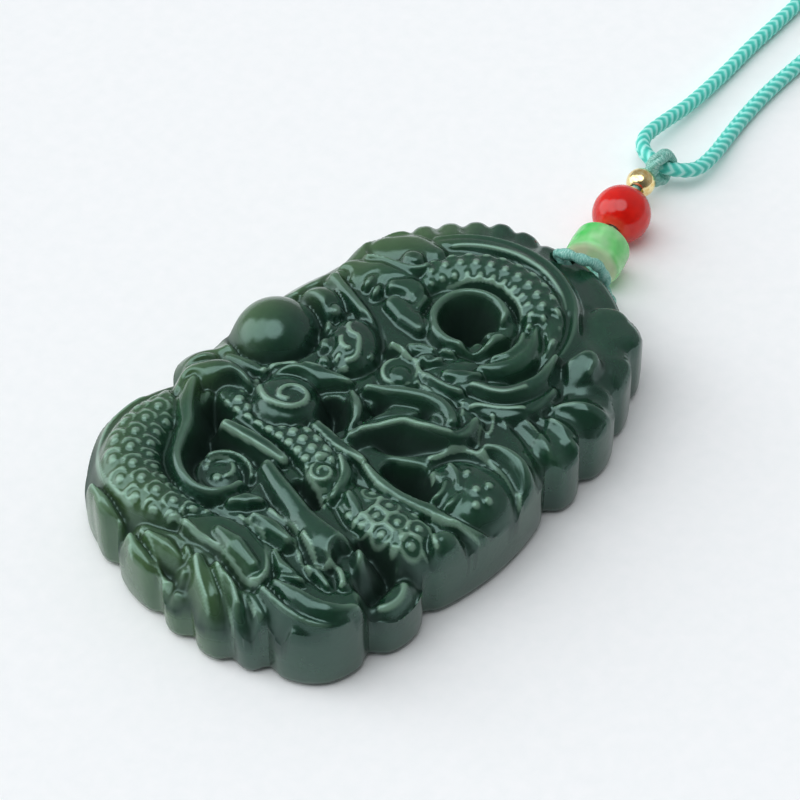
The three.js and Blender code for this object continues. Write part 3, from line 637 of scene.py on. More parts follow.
# Lower dragon: scaled body, ribbon arch with its scroll, ear, snout, lips and recesses
lower_body = [
    (-13.4, -13.4), (-13.4, -16.2), (-12.9, -18.7), (-11.3, -21.0), (-8.6, -22.4), (-5.6, -22.6),
    (-2.8, -22.2), (-0.4, -21.4),
]
body_half = [2.2, 2.8, 3.0, 3.1, 2.9, 2.6, 2.0, 1.2]
raise_form(lower_body, body_half, [LOW + 0.2, MID + 0.4, MID + 0.4, LOW + 0.5], 1.9)
BORDER = [
    (-15.2, -14.8), (-15.6, -17.4), (-15.3, -19.8), (-14.3, -21.9), (-12.7, -23.9), (-11.0, -25.0),
    (-8.6, -25.3), (-6.2, -25.2),
]
add_line(BORDER, 0.32, 0.4)
dot_scales(lower_body, [1.5, 2.4, 2.7, 2.8, 2.6, 2.3, 1.7, 0.8], 2.0, 0.5, 0.34, ring=0.95)
add_line([(-13.4, -13.5), (-11.7, -14.9), (-10.3, -15.8)], 0.3, 0.35)
add_line([(-9.9, -16.6), (-9.5, -17.9), (-8.8, -18.9), (-7.7, -19.7), (-6.3, -20.1)], 0.26, 0.3)
raise_dome((-14.7, -8.6), (1.4, 2.2), 0, LOW, 1.2)
arch = [(-13.9, -11.4), (-14.1, -9.4), (-12.9, -7.6), (-11.0, -7.0), (-9.2, -7.6)]
raise_form(arch, [1.2, 1.9, 1.8, 1.3, 0.8], [MID, MID, HIGH, MID], 2.0)
sink([(-10.4, -9.6), (-9.4, -12.8), (-7.6, -15.4), (-6.2, -17.0)], [1.6, 1.9, 2.2, 1.9], 4.4)
sink([(-7.6, -14.4), (-4.4, -13.9), (-1.2, -13.4)], [1.6, 1.2, 0.7], 5.0)
raise_dome((-3.6, -16.6), (2.9, 2.6), 0, LOW, 0.5)
ribbon = [
    (-13.8, -10.6), (-12.4, -12.8), (-10.6, -14.6), (-9.6, -16.4), (-8.4, -18.2), (-6.6, -19.4),
    (-4.6, -19.8), (-2.8, -19.2), (-1.7, -17.8), (-1.6, -16.4),
]
raise_form(
    ribbon, [0.8, 1.1, 1.0, 0.9, 0.8, 0.75, 0.7, 0.7, 0.6], [MID, HIGH, HIGH, MID], 1.5, lean=0.45,
    ditch=0.35,
)
sink([(-4.2, -15.6), (-3.4, -15.2), (-2.4, -15.2)], 1.3, 5.6, 0.4)
raise_dome((-3.4, -17.2), (2.1, 1.9), 0, 7.9, 0.8, 0.3)
add_line(arc((-3.4, -17.0), 1.7, 0.5, 215, -60, 11), 0.3, 0.4)
studs([(-3.3, -17.9)], 0.55, 0.3)
raise_form(arc((-3.4, -17.1), 2.8, 2.7, 160, 40, 7), [0.3], [LOW], 0.4, ditch=0.2)
sink([(2.2, -12.9), (4.4, -13.3)], [0.9, 1.1], 6.0)
sink([(11.6, -13.9), (13.4, -14.4), (14.4, -15.6), (14.4, -17.2)], [1.2, 1.7, 1.7, 1.2], 3.4)
raise_form([(1.3, -16.9), (0.2, -17.7), (-0.7, -18.8)], [0.4, 0.9, 0.5], [MID], 0.4)
snout = [(-1.2, -13.6), (0.8, -14.3), (3.2, -15.0), (5.6, -15.8), (8.0, -16.2), (10.2, -16.2), (11.6, -16.1)]
raise_form(
    snout, [0.9, 1.0, 1.05, 1.2, 1.5, 1.6, 1.2], [MID + 0.3, HIGH, HIGH, PEAK, PEAK], 1.1, lean=0.5,
    ditch=0.4,
)
raise_form([(11.8, -17.2), (12.8, -18.2), (13.6, -19.2)], [1.0, 1.1, 0.7], [LOW], 0.9, ditch=0.2)
raise_form([(1.9, -18.6), (4.0, -18.4), (6.2, -18.6)], [0.4, 1.0, 0.6], [HIGH], 0.9)
raise_form([(6.4, -20.5), (8.0, -21.2), (10.0, -21.2)], [0.4, 0.7, 0.4], [MID], 0.5, ditch=0.3)
raise_form([(8.6, -22.1), (9.4, -21.8), (10.4, -21.2)], [0.3], [MID], 0.3, ditch=0.3)
sink([(8.6, -18.9), (10.6, -19.7), (12.4, -19.9)], [0.5, 0.9, 0.5], 7.6)
raise_form([(9.9, -19.7), (11.2, -19.8), (12.6, -20.2)], [0.35, 0.5, 0.3], [LOW + 0.2], 0.3, ditch=0.2)
add_line(
    [(2.6, -17.6), (4.6, -17.1), (6.2, -17.6), (7.0, -18.4), (8.2, -19.4), (9.8, -20.4), (11.6, -21.2)],
    0.32, 0.45,
)
add_line([(6.6, -17.4), (8.3, -18.1), (10.0, -18.5), (12.0, -18.6), (13.1, -18.9), (13.9, -19.9)], 0.32, 0.5)
add_line([(6.3, -19.6), (5.8, -20.2), (6.0, -20.7)], 0.3, 0.35)
ear = [(-1.4, -23.2), (1.0, -22.0), (3.6, -22.0), (5.8, -22.6), (7.0, -23.3)]
raise_form(ear, [1.0, 1.8, 1.95, 1.7, 1.0], [MID], 0.4)
EAR_RIM = [
    (0.8, -19.7), (3.0, -20.0), (5.0, -20.6), (6.6, -21.6), (7.7, -22.8), (7.7, -23.9), (6.8, -24.5),
    (5.0, -24.2), (2.5, -23.7), (0.0, -23.8), (-1.8, -24.5), (-3.2, -25.3),
]
add_line(EAR_RIM, 0.32, 0.5)
raise_form(
    [(0.8, -22.0), (3.2, -22.1), (5.8, -22.8)], [0.6, 1.0, 0.8], [HIGH, PEAK, HIGH], 0.8, lean=0.4,
    ditch=0.2,
)
chin = [(8.4, -24.2), (10.6, -24.5), (13.2, -24.3), (15.1, -23.4), (16.4, -21.6)]
raise_form(chin, [0.4, 0.5, 0.55, 0.5], [MID], 0.4)
lower_lip = [(8.6, -23.0), (10.8, -22.8), (13.3, -22.5), (15.0, -21.5), (16.1, -20.0)]
raise_form(lower_lip, [0.4, 0.9, 1.05, 0.95, 0.4], [MID, HIGH, HIGH, MID], 1.2, lean=0.4)
side_lobe = [(17.6, -14.6), (18.0, -16.4), (18.0, -18.2), (17.5, -19.6)]
raise_form(side_lobe, [1.2, 1.5, 1.5, 1.0], [6.8, 6.9, 6.8, 6.6], 1.1, ditch=0.1)
add_line([(17.4, -15.4), (18.1, -16.3), (18.3, -17.4), (18.0, -18.5), (17.4, -19.2)], 0.5, 0.3)

# Scaly band across the middle, its belts and the bead at its end
band_left = [(-9.8, -9.6), (-7.6, -9.6), (-4.6, -9.3), (-1.6, -9.2), (1.2, -9.6), (3.6, -10.6)]
raise_form(band_left, [1.3, 1.6, 1.7, 1.8, 1.9, 1.6], [8.2, LOW, MID, MID], 0.6)
dot_scales(band_left, [1.2, 1.5, 1.6, 1.7, 1.8, 1.2], 1.4, 0.58, 0.36)
band_right = [(6.4, -11.2), (9.0, -11.3), (12.4, -11.1), (15.6, -11.0), (17.8, -10.6)]
raise_form(band_right, [1.6, 2.4, 2.7, 2.2, 1.2], [LOW, MID, MID, LOW], 0.7)
raise_form([(6.6, -11.0), (7.8, -11.5), (9.0, -12.1)], [0.5, 0.65, 0.4], [MID + 0.2], 0.3, ditch=0.2)
ROSETTES = [
    (8.6, -9.9), (10.7, -10.0), (10.6, -11.6), (12.5, -10.9), (12.4, -12.9), (10.4, -13.3), (14.5, -10.2),
]
studs(ROSETTES + [(15.2, -12.0)], 0.5, 0.36, ring=0.95)
studs([(13.2, -9.2), (8.7, -13.2), (13.9, -11.8), (14.2, -13.3), (16.7, -11.4), (16.2, -10.0)], 0.55, 0.3)
add_line([(9.5, -9.6), (9.7, -11.2), (9.6, -12.6), (9.9, -14.0)], 0.24, 0.3)
for i in range(3):
    add_line([(5.2, -12.7 - 0.6 * i), (6.0, -12.6 - 0.6 * i), (6.5, -12.9 - 0.6 * i)], 0.26, 0.35)
raise_form([(3.2, -8.2), (4.9, -9.4), (5.6, -11.2), (5.8, -12.2)], [0.5, 0.65, 0.6, 0.4], [MID], 0.35)
add_line([(2.6, -8.4), (4.0, -9.1), (4.9, -10.3), (5.5, -12.0)], 0.24, 0.35)
studs([(2.3, -9.4)], 0.4, 0.3, ring=0.7)
raise_dome((3.4, -11.0), (1.5, 1.4), 0, MID + 0.1, 0.5, 0.3)
add_line(arc((3.4, -11.0), 1.25, 0.3, 150, 640, 15), 0.24, 0.34)
add_line([(1.6, -11.3), (2.6, -12.2), (4.0, -12.4), (5.0, -11.8)], 0.26, 0.35)
raise_dome((16.9, -9.1), (1.9, 1.75), 0, HIGH, 1.9)
belt = [(5.2, -7.4), (7.2, -8.0), (9.6, -8.2), (12.0, -7.9), (14.4, -7.2), (17.0, -6.2), (19.6, -4.8)]
raise_form(belt, [0.35, 0.5, 0.5, 0.6, 0.8, 1.0, 1.2], [MID], 0.3)
edge_lines(belt, [0.35, 0.5, 0.5, 0.6, 0.8, 1.0, 1.2], 0.1, 0.28)
left_belt = [(-2.4, -6.8), (-0.2, -7.0), (2.0, -7.3), (4.8, -7.2)]
raise_form(left_belt, [0.5, 0.6, 0.6, 0.4], [LOW, MID], 0.3)
edge_lines(left_belt, [0.5, 0.6, 0.6, 0.4], 0.12, 0.3)
add_line([(14.0, -8.1), (15.3, -7.9), (16.7, -7.0)], 0.25, 0.3)
add_line([(14.8, -9.0), (15.8, -9.8), (16.9, -10.3)], 0.25, 0.3)
lower_belt = [(-7.6, -12.4), (-5.4, -12.1), (-3.0, -11.9), (-0.6, -12.0)]
raise_form(lower_belt, [0.5, 0.65, 0.65, 0.5], [MID], 0.3)
edge_lines(lower_belt, [0.5, 0.65, 0.65, 0.5], 0.12, 0.32)

# Upper head: paw, horns, brow, eye, open jaws and the curled whisker
raise_dome((14.4, -3.0), (4.6, 3.5), 0, MID + 0.3, 1.9)
PAW_RIM = [
    (9.3, -3.7), (10.0, -2.8), (10.7, -1.4), (12.0, -0.2), (13.8, 0.4), (15.6, 0.3), (17.3, -0.3),
    (18.5, -1.2), (19.3, -1.9),
]
add_line(PAW_RIM, 0.36, 0.55)
sink([(7.2, -5.6), (9.4, -5.2), (11.2, -5.4)], [1.2, 1.9, 1.3], 4.0)
raise_form([(11.2, -2.3), (12.4, -2.7), (13.6, -3.8)], [0.4, 0.55, 0.3], [MID + 0.3], 0.4, ditch=0.3)
raise_form([(12.4, -4.1), (12.9, -5.2), (12.8, -6.4)], [0.35, 0.45, 0.3], [MID], 0.4, ditch=0.3)
add_line([(10.7, -4.4), (11.2, -4.7), (11.7, -5.1)], 0.28, 0.3)
raise_form([(14.4, -4.6), (14.4, -5.4), (14.3, -6.2)], [0.4, 0.45, 0.3], [MID + 0.1], 0.15, ditch=0.25)
studs([(13.2, -2.3), (15.2, -3.2), (15.8, -2.1), (16.9, -3.4), (16.4, -4.6)], 0.5, 0.3)
raise_dome((4.2, 6.0), (6.2, 3.0), 22, MID, 1.0)
raise_form([(3.4, 12.2), (4.4, 13.6), (4.2, 14.8)], [0.6, 0.8, 0.4], [LOW], 0.3, ditch=0.2)
raise_dome((3.5, 10.2), (0.75, 1.1), 0, LOW, 0.5)
back_horn = [(5.6, 8.6), (6.8, 10.2), (7.4, 12.2), (7.0, 14.4), (6.0, 16.2)]
raise_form(back_horn, [0.9, 1.3, 1.4, 1.1, 0.4], [HIGH, HIGH, MID], 1.6, lean=0.1)
raise_form([(5.4, 10.4), (6.2, 11.8), (6.2, 13.4), (5.5, 14.8)], [0.3, 0.5, 0.5, 0.3], [HIGH], 0.2, ditch=0.2)
raise_form([(6.5, 17.8), (7.3, 16.8), (7.9, 15.6)], [0.5, 0.6, 0.3], [MID], 0.3, ditch=0.2)
front_horn = [
    (5.2, 5.7), (6.0, 6.4), (8.2, 7.2), (9.4, 8.2), (10.2, 9.8), (10.5, 11.3), (10.2, 13.0), (9.7, 14.6),
]
raise_form(
    [(6.8, 4.6), (8.9, 5.2), (10.8, 6.4), (12.0, 8.5), (12.3, 10.7)], [0.9, 1.2, 1.3, 1.2, 0.8], [9.0], 0.3,
    ditch=0,
)
raise_form(front_horn, [0.6, 0.85, 0.95, 1.0, 1.0, 0.9, 0.7, 0.4], [HIGH], 0.75, lean=0.3)
add_line([(6.0, 6.2), (7.1, 6.6), (8.3, 7.0), (9.3, 7.7), (10.0, 8.7), (10.5, 9.8)], 0.34, 0.25)
for tuft, half in (
    ([(-1.4, 6.2), (-0.4, 6.8), (0.6, 7.4)], [0.6, 0.8, 0.5]),
    ([(0.4, 5.8), (1.1, 6.3), (1.9, 6.9)], [0.5, 0.75, 0.4]),
    ([(3.6, 6.0), (4.8, 6.8), (6.0, 8.0)], [0.7, 0.9, 0.3]),
    ([(1.2, 8.0), (2.1, 8.4)], [0.3, 0.3]),
):
    raise_form(tuft, half, [HIGH], 0.4, ditch=0.4)
add_line([(-1.0, 6.3), (-0.2, 6.8), (0.4, 7.3)], 0.22, -0.3)
add_line([(0.8, 5.9), (1.3, 6.4), (1.7, 6.8)], 0.22, -0.3)
brow = [(-2.8, 5.2), (-1.4, 5.5), (0.4, 4.9), (2.6, 4.6), (4.8, 4.8), (6.0, 5.2)]
raise_form(brow, [0.35, 0.4, 0.42, 0.45, 0.4], [HIGH], 0.4, ditch=0.35)
raise_dome((0.3, 3.0), (2.3, 1.9), 0, MID, 0.6)
add_line([(-2.4, 4.3), (-1.0, 5.0), (0.6, 4.9), (2.0, 4.2), (3.0, 3.4)], 0.26, 0.4)
add_line(arc((0.3, 3.0), 1.65, 1.65, 0, 360, 19), 0.28, 0.35)
raise_dome((0.3, 3.0), (1.15, 1.1), 0, MID + 0.35, 0.5, 0.2)
JAW_LINE = [(1.9, 3.2), (3.5, 3.4), (5.2, 3.8), (7.0, 4.0), (8.6, 4.7), (10.2, 5.7), (11.4, 6.7), (12.3, 7.6)]
add_line(JAW_LINE, 0.28, 0.4)
sink([(-2.4, -3.4), (-1.4, -4.2), (-0.8, -5.0)], [1.2, 1.6, 1.2], 4.6)
sink([(5.6, 1.6), (4.0, 1.2), (2.4, 0.0), (1.2, -1.1)], [0.9, 1.2, 1.2, 0.8], 6.3)
raise_form([(4.4, 0.3), (3.4, -1.0), (2.7, -2.6), (2.2, -3.6)], [0.9, 1.1, 0.7, 0.3], [LOW], 0.3, ditch=0.2)
raise_dome((8.0, 2.0), (2.6, 2.0), 25, MID, 1.2, 0.2)
upper_lip = [(-1.0, -0.2), (0.7, 0.7), (2.3, 1.8), (4.0, 2.6), (5.8, 2.9), (7.5, 2.2), (8.4, 0.8)]
raise_form(upper_lip, [0.4, 0.7, 0.8, 0.8, 0.8, 0.8, 0.7], [MID + 0.4, HIGH, HIGH, MID + 0.4], 0.7)
sink(
    [(3.0, -4.1), (5.1, -3.4), (6.9, -1.9), (8.2, -0.4), (9.6, 0.9), (10.6, 2.2)],
    [0.8, 1.2, 1.3, 1.2, 1.0, 0.6], 6.0,
)
jaw = [
    (1.9, -5.4), (2.3, -4.1), (3.3, -2.5), (4.4, -1.0), (6.0, -0.3), (7.8, 0.5), (9.1, 1.0), (9.6, 1.9),
    (9.3, 3.4),
]
raise_form(
    jaw, [0.8, 1.1, 1.1, 1.0, 1.0, 1.0, 1.0, 1.0, 0.6], [HIGH, HIGH, PEAK, PEAK, HIGH, HIGH], 1.1,
    lean=-0.35,
)
add_line([(2.2, -5.2), (2.6, -4.4), (3.6, -2.8), (4.6, -1.3), (6.1, -0.7), (7.9, 0.1), (9.3, 0.7)], 0.34, 0.3)
add_line([(10.0, 4.7), (11.0, 4.0), (11.7, 2.6), (11.9, 1.2), (12.2, 0.5)], 0.26, 0.35)
add_line([(7.5, 3.6), (8.0, 3.1), (8.4, 2.4)], 0.3, 0.3)
raise_form(
    [(-1.6, -1.6), (-0.2, -2.4), (0.8, -3.6), (1.4, -5.2)], [0.4, 0.8, 0.75, 0.3], [MID, HIGH, MID], 1.2,
)
raise_form(
    [(-2.6, -0.9), (-4.8, -1.9), (-6.8, -3.2), (-7.8, -4.8)], [0.5, 1.2, 1.8, 1.6], [MID, HIGH], 1.6,
    lean=-0.4,
)
raise_dome((-5.9, -6.0), (3.4, 3.1), 0, HIGH, 1.9)
WHISKER_RIM = [(-2.6, -0.5), (-4.6, -1.0), (-6.4, -1.8), (-8.0, -2.9), (-9.0, -4.4), (-9.3, -6.0)]
add_line(WHISKER_RIM, 0.32, 0.35)
spiral = [
    (-9.2, -6.0), (-8.6, -7.2), (-7.2, -7.8), (-5.6, -7.8), (-4.2, -7.1), (-3.6, -6.0), (-4.0, -5.1),
    (-5.0, -4.8), (-6.0, -5.2), (-6.4, -6.1), (-5.9, -6.9), (-5.1, -6.6), (-4.6, -6.2),
]
add_line(spiral, [0.4, 0.34], [0.5, 0.4])


def polish(field, passes):
    """Even out a field a little with each pass."""
    for _ in range(passes):
        padded = np.pad(field, 1, mode="edge")
        field = (padded[:-2, 1:-1] + padded[2:, 1:-1] + padded[1:-1, :-2] + padded[1:-1, 2:]) / 8 + field / 2
    return field


def ease_slopes(field, most):
    """Fill the feet of walls until none is steeper than most."""
    around = [(i, j) for i in (-1, 0, 1) for j in (-1, 0, 1) if i or j]
    rows, cols = field.shape
    for _ in range(24):
        wide = np.pad(field, 1, mode="edge")
        near = [
            wide[1 + i : 1 + i + rows, 1 + j : 1 + j + cols] - most * PITCH * math.hypot(i, j)
            for i, j in around
        ]
        field = np.maximum(field, np.max(near, axis=0))
    return field


# The whole face gets the softness of polishing, and its rim is rounded over, most of all along the mane
STEEPEST = 2.4
RIM_WIDTH = 1.1
RIM_DROP = 1.0
MANE_RIM_WIDER = 1.9
MANE_RIM_DEEPER = 1.7
relief = polish(ease_slopes(relief, STEEPEST), 5) + polish(lines, 4)
mane_side = ease((X - 5.0) / 6.0) * ease((Y + 21.0) / 5.0) * (1 - crown)
rim_width = RIM_WIDTH + MANE_RIM_WIDER * mane_side
rim_drop = RIM_DROP + MANE_RIM_DEEPER * mane_side
relief -= rim_drop * (1 - np.sqrt(1 - (0.95 * (1 - np.minimum(gap / rim_width, 1))) ** 2))

# What the finish needs to know: crests painted pale as painted highlight with some pale wear, creases,
# hollows, steep sides and walls painted dark as painted shade, and thin edges painted yellow-green as a
# painted glow of light coming through them
steep = np.hypot(*np.gradient(relief, PITCH))
crests = polish((relief - polish(relief, 8)) / np.hypot(1, steep), 5) + 0.1 * ease((lines - 0.14) / 0.16)
roof = relief
rows, cols = roof.shape
for _ in range(9):
    wide = np.pad(roof, 1, mode="edge")
    roof = np.max([wide[i : i + rows, j : j + cols] for i in range(3) for j in range(3)], axis=0)
thinness = falls * (1 - ease(gap / 8.0))
hollows = np.clip(polish(roof, 20) - relief - 0.7, 0, 4)
# Steep sides are added to the hollows, so that they too are painted dark as shade
hollows += 1.2 * ease((polish(steep, 2) - 1.1) / 1.2) * ease(gap / 1.5) * (1 - thinness)

points = np.stack([X, Y, relief], axis=-1).reshape(-1, 3) * MM
stone.data.vertices.foreach_set("co", points.ravel())
stone.data.update()

# Close the block: its border goes down below the table and is capped
BLOCK_FOOT = -2
bpy.ops.object.mode_set(mode="EDIT")
bpy.ops.mesh.select_mode(type="EDGE")
bpy.ops.mesh.select_all(action="SELECT")
bpy.ops.mesh.region_to_loop()
bpy.ops.mesh.extrude_region_move(TRANSFORM_OT_translate={"value": (0, 0, -0.03)})
bpy.ops.mesh.select_mode(type="VERT")
bm = bmesh.from_edit_mesh(stone.data)
for v in bm.verts:
    if v.select:
        v.co.z = BLOCK_FOOT * MM
bmesh.update_edit_mesh(stone.data)
bpy.ops.mesh.edge_face_add()
bpy.ops.mesh.select_all(action="SELECT")
bpy.ops.mesh.normals_make_consistent(inside=False)
bpy.ops.object.mode_set(mode="OBJECT")

# The side walls: the outline drawn out upwards, its lower edge rounded and its upper end a little drawn in
pick()
bpy.ops.mesh.primitive_circle_add(vertices=len(outline), radius=20 * MM, fill_type="NGON")
walls = bpy.context.object
outward = outward_of(outline)
WALL = [
    (0.0, -0.8), (0.2, -0.42), (0.6, -0.12), (1.2, 0.0), (3.0, 0.06), (6.0, 0.03), (8.0, -0.08),
    (13.0, -0.4),
]
bpy.ops.object.mode_set(mode="EDIT")
bpy.ops.mesh.select_mode(type="FACE")
bpy.ops.mesh.select_all(action="SELECT")
known = {}
for height, swell in WALL:
    if known:
        bpy.ops.mesh.extrude_region_move(TRANSFORM_OT_translate={"value": (0, 0, MM)})
    bm = bmesh.from_edit_mesh(walls.data)
    face = next(f for f in bm.faces if f.select)
    here = {}
    for k, v in enumerate(face.verts):
        i = known.get((round(v.co.x, 6), round(v.co.y, 6)), -k % len(outline))
        x, y = outline[i] + swell * outward[i]
        v.co = Vector((x, y, height)) * MM
        here[(round(v.co.x, 6), round(v.co.y, 6))] = i
    known = here
    bmesh.update_edit_mesh(walls.data)
bpy.ops.mesh.select_all(action="SELECT")
bpy.ops.mesh.normals_make_consistent(inside=False)
bpy.ops.object.mode_set(mode="OBJECT")


def cut(piece, tool, operation):
    """Cut a piece with another by a Boolean modifier, and remove the tool."""
    pick(piece)
    bpy.ops.object.modifier_add(type="BOOLEAN")
    change = piece.modifiers[-1]
    change.operation = operation
    change.solver = "MANIFOLD"
    change.object = tool
    bpy.ops.object.modifier_apply(modifier=change.name)
    bpy.data.objects.remove(tool)


cut(stone, walls, "INTERSECT")

# The drilled hole for the thread, from the carved face out through the upper wall
HOLE_MOUTH = Vector((-0.2, 26.15, 7.5))
HOLE_EXIT = Vector((5.2, 28.2, 1.5))
HOLE_RADIUS = 1.0
drilled = HOLE_EXIT - HOLE_MOUTH
pick()
bpy.ops.mesh.primitive_cylinder_add(
    vertices=24, radius=HOLE_RADIUS * MM, depth=drilled.length * MM,
    location=(HOLE_MOUTH + HOLE_EXIT) / 2 * MM, rotation=drilled.to_track_quat("Z", "Y").to_euler(),
)
cut(stone, bpy.context.object, "DIFFERENCE")
spots = np.zeros(len(stone.data.vertices) * 3)
stone.data.vertices.foreach_get("co", spots)
spots = spots.reshape(-1, 3) / MM
row = np.clip(np.rint((spots[:, 1] - Y[0, 0]) / (Y[1, 0] - Y[0, 0])).astype(int), 0, X.shape[0] - 1)
col = np.clip(np.rint((spots[:, 0] - X[0, 0]) / (X[0, 1] - X[0, 0])).astype(int), 0, X.shape[1] - 1)
on_face = np.abs(spots[:, 2] - relief[row, col]) < 0.3
worn = np.where(on_face, crests[row, col], 0.0)
# Walls are painted darker further below the face's edge, as painted shade, and are rougher there
sunk = np.where(on_face, hollows[row, col], 0.6 * ease((relief[row, col] - spots[:, 2]) / 1.5))
thin = thinness[row, col]
for name, values in (("worn", worn), ("sunk", sunk), ("thin", thin)):
    stone.data.attributes.new(name, "FLOAT", "POINT").data.foreach_set("value", values.astype(np.float32))
pick(stone)
bpy.ops.object.shade_smooth_by_angle(angle=math.radians(50))

# Polished nephrite: waxy dark green, with painted light in its colour: a painted yellow glow where light
# comes through the thin rim, a painted highlight with some pale wear on crests, and painted shade in creases,
# hollows and cuts, which are also rougher
nephrite, tree, skin = material("polished_nephrite")
CLOUD = 9.0
FLECK = 0.5
spot = add(tree, "ShaderNodeTexCoord").outputs["Object"]
cloud = add(
    tree, "ShaderNodeTexNoise", {"Vector": spot, "Scale": 1 / (CLOUD * MM), "Detail": 4.0},
).outputs["Fac"]
fleck = add(
    tree, "ShaderNodeTexNoise", {"Vector": spot, "Scale": 1 / (FLECK * MM), "Detail": 3.0},
).outputs["Fac"]
crest_shading_and_wear, depth, thinned = (
    add(tree, "ShaderNodeAttribute", attribute_name=name).outputs["Fac"] for name in ("worn", "sunk", "thin")
)
mixed = add(tree, "ShaderNodeMath", {0: fleck, 1: 0.25, 2: cloud}, operation="MULTIPLY_ADD").outputs[0]
colour = ramp(tree, mixed, [(0.35, "#0f2a1c"), (0.6, "#153625"), (0.85, "#234630")])
for share, low, high, most, code in (
    # Painted glow of light coming through the thin rim
    (thinned, 0.1, 1.0, 0.55, "#587446"),
    # Painted shade in hollows, on steep sides and down the walls
    (depth, 0.0, 2.4, 0.85, "#08130d"),
    # Painted highlight, with some pale wear, on crests and raised lines
    (crest_shading_and_wear, 0.03, 0.14, 0.65, "#8aaa96"),
    # Painted shade in creases between forms
    (crest_shading_and_wear, -0.01, -0.08, 0.5, "#0c1812"),
):
    part = add(tree, "ShaderNodeMapRange", {0: share, 1: low, 2: high, 3: 0.0, 4: most}).outputs[0]
    mix = add(tree, "ShaderNodeMix", {0: part, 6: colour, 7: linear(code)}, data_type="RGBA")
    colour = mix.outputs[2]
tree.links.new(colour, skin.inputs["Base Color"])
dull = add(tree, "ShaderNodeMapRange", {0: depth, 1: 0.2, 2: 2.4, 3: 0.16, 4: 0.5}).outputs[0]
tree.links.new(dull, skin.inputs["Roughness"])
bump = add(tree, "ShaderNodeBump", {"Height": fleck, "Strength": 0.2, "Distance": 0.06 * MM})
tree.links.new(bump.outputs[0], skin.inputs["Normal"])
skin.inputs["IOR"].default_value = 1.8
skin.inputs["Specular Tint"].default_value = linear("#c6f0e6")
skin.inputs["Subsurface Weight"].default_value = 0.25
skin.inputs["Subsurface Radius"].default_value = (0.6, 1.0, 0.5)
skin.inputs["Subsurface Scale"].default_value = 1.5 * MM
stone.data.materials.clear()
stone.data.materials.append(nephrite)


# Beads, each turned about its bore and set on the string
BORE_CHAMFER = 0.15
BORE_LIP = 0.12


def turned_bead(name, profile, along, finish):
    """A bead turned from a closed half profile of radius and way along the bore."""
    pick()
    line, _ = evenly(np.array([*profile, profile[0]], float), 0.12)
    bpy.ops.mesh.primitive_circle_add(vertices=len(line) - 1)
    made = bpy.context.object
    made.name = name
    for v, (r, way) in zip(made.data.vertices, line):
        v.co = Vector((r, way, 0)) * MM
    half = line[:, 1].max()
    bpy.ops.object.mode_set(mode="EDIT")
    bpy.ops.mesh.select_all(action="SELECT")
    bpy.ops.mesh.spin(steps=72, angle=2 * math.pi, center=(0, 0, 0), axis=(0, 1, 0))
    bpy.ops.mesh.select_all(action="SELECT")
    bpy.ops.mesh.remove_doubles(threshold=0.01 * MM)
    bpy.ops.mesh.normals_make_consistent(inside=False)
    bpy.ops.object.mode_set(mode="OBJECT")
    ends = [abs(v.co.y) / (half * MM) for v in made.data.vertices]
    made.data.attributes.new("ends", "FLOAT", "POINT").data.foreach_set("value", ends)
    heading = Vector((-math.sin(STRING_TURN), math.cos(STRING_TURN), 0))
    made.rotation_euler.z = STRING_TURN
    made.location = (Vector(STRING_START) + along * heading) * MM
    bpy.ops.object.transform_apply(location=True, rotation=True, scale=True)
    bpy.ops.object.shade_smooth_by_angle(angle=math.radians(45))
    made.data.materials.append(finish)
    return made


def drum(radius, half, corner, bore):
    """Half profile of a drum bead: flat ends, rounded corners and a slightly swollen side."""
    turns = [math.radians(a) for a in range(0, 91, 15)]
    upper = [(radius - corner + corner * math.cos(a), half - corner + corner * math.sin(a)) for a in turns]
    lower = [(r, -way) for r, way in reversed(upper)]
    ground = bore + BORE_CHAMFER
    inner = [(ground, half), (bore, half - BORE_CHAMFER), (bore, -half + BORE_CHAMFER)]
    return [(ground, -half), *lower, (radius + 0.06, 0), *upper, *inner]


def ball(radius, bore):
    """Half profile of a round bead with its bore."""
    turn = math.acos((bore + BORE_LIP) / radius)
    side = [(radius * math.cos(a), radius * math.sin(a)) for a in np.linspace(-turn, turn, 40)]
    deep = radius * math.sin(turn) - BORE_CHAMFER
    return [*side, (bore, deep), (bore, -deep)]


SWIRL = 2.5


# Clear coloured glass: even colour in depth, a sharp highlight, and ends round the bore painted paler as a
# painted glow of light coming through them
def tinted_glass(name, pale, deep, ground, clearness):
    made, tree, skin = material(name)
    spot = add(tree, "ShaderNodeTexCoord").outputs["Object"]
    swirl = add(
        tree, "ShaderNodeTexNoise", {"Vector": spot, "Scale": 1 / (SWIRL * MM), "Detail": 2.0},
    ).outputs["Fac"]
    body = ramp(tree, swirl, [(0.3, deep), (0.7, pale)])
    # Near the ends the colour turns to ground, a painted glow of light coming through the bead
    ends = add(tree, "ShaderNodeAttribute", attribute_name="ends").outputs["Fac"]
    share = add(tree, "ShaderNodeMapRange", {0: ends, 1: 0.8, 2: 1.0, 3: 0.0, 4: 0.9}).outputs[0]
    mix = add(tree, "ShaderNodeMix", {0: share, 6: body, 7: linear(ground)}, data_type="RGBA")
    tree.links.new(mix.outputs[2], skin.inputs["Base Color"])
    skin.inputs["Roughness"].default_value = 0.06
    skin.inputs["IOR"].default_value = 1.5
    skin.inputs["Transmission Weight"].default_value = clearness
    skin.inputs["Subsurface Weight"].default_value = 0.3
    skin.inputs["Subsurface Radius"].default_value = (1.0, 1.0, 1.0)
    skin.inputs["Subsurface Scale"].default_value = 1.5 * MM
    return made


# The last colour of each is the painted glow at its ends
green_glass = tinted_glass("pale_green_glass", "#c4ffc0", "#38ee60", "#ffffe0", 0.45)
red_glass = tinted_glass("red_glass", "#ff2208", "#e00e04", "#ff5a40", 0.35)

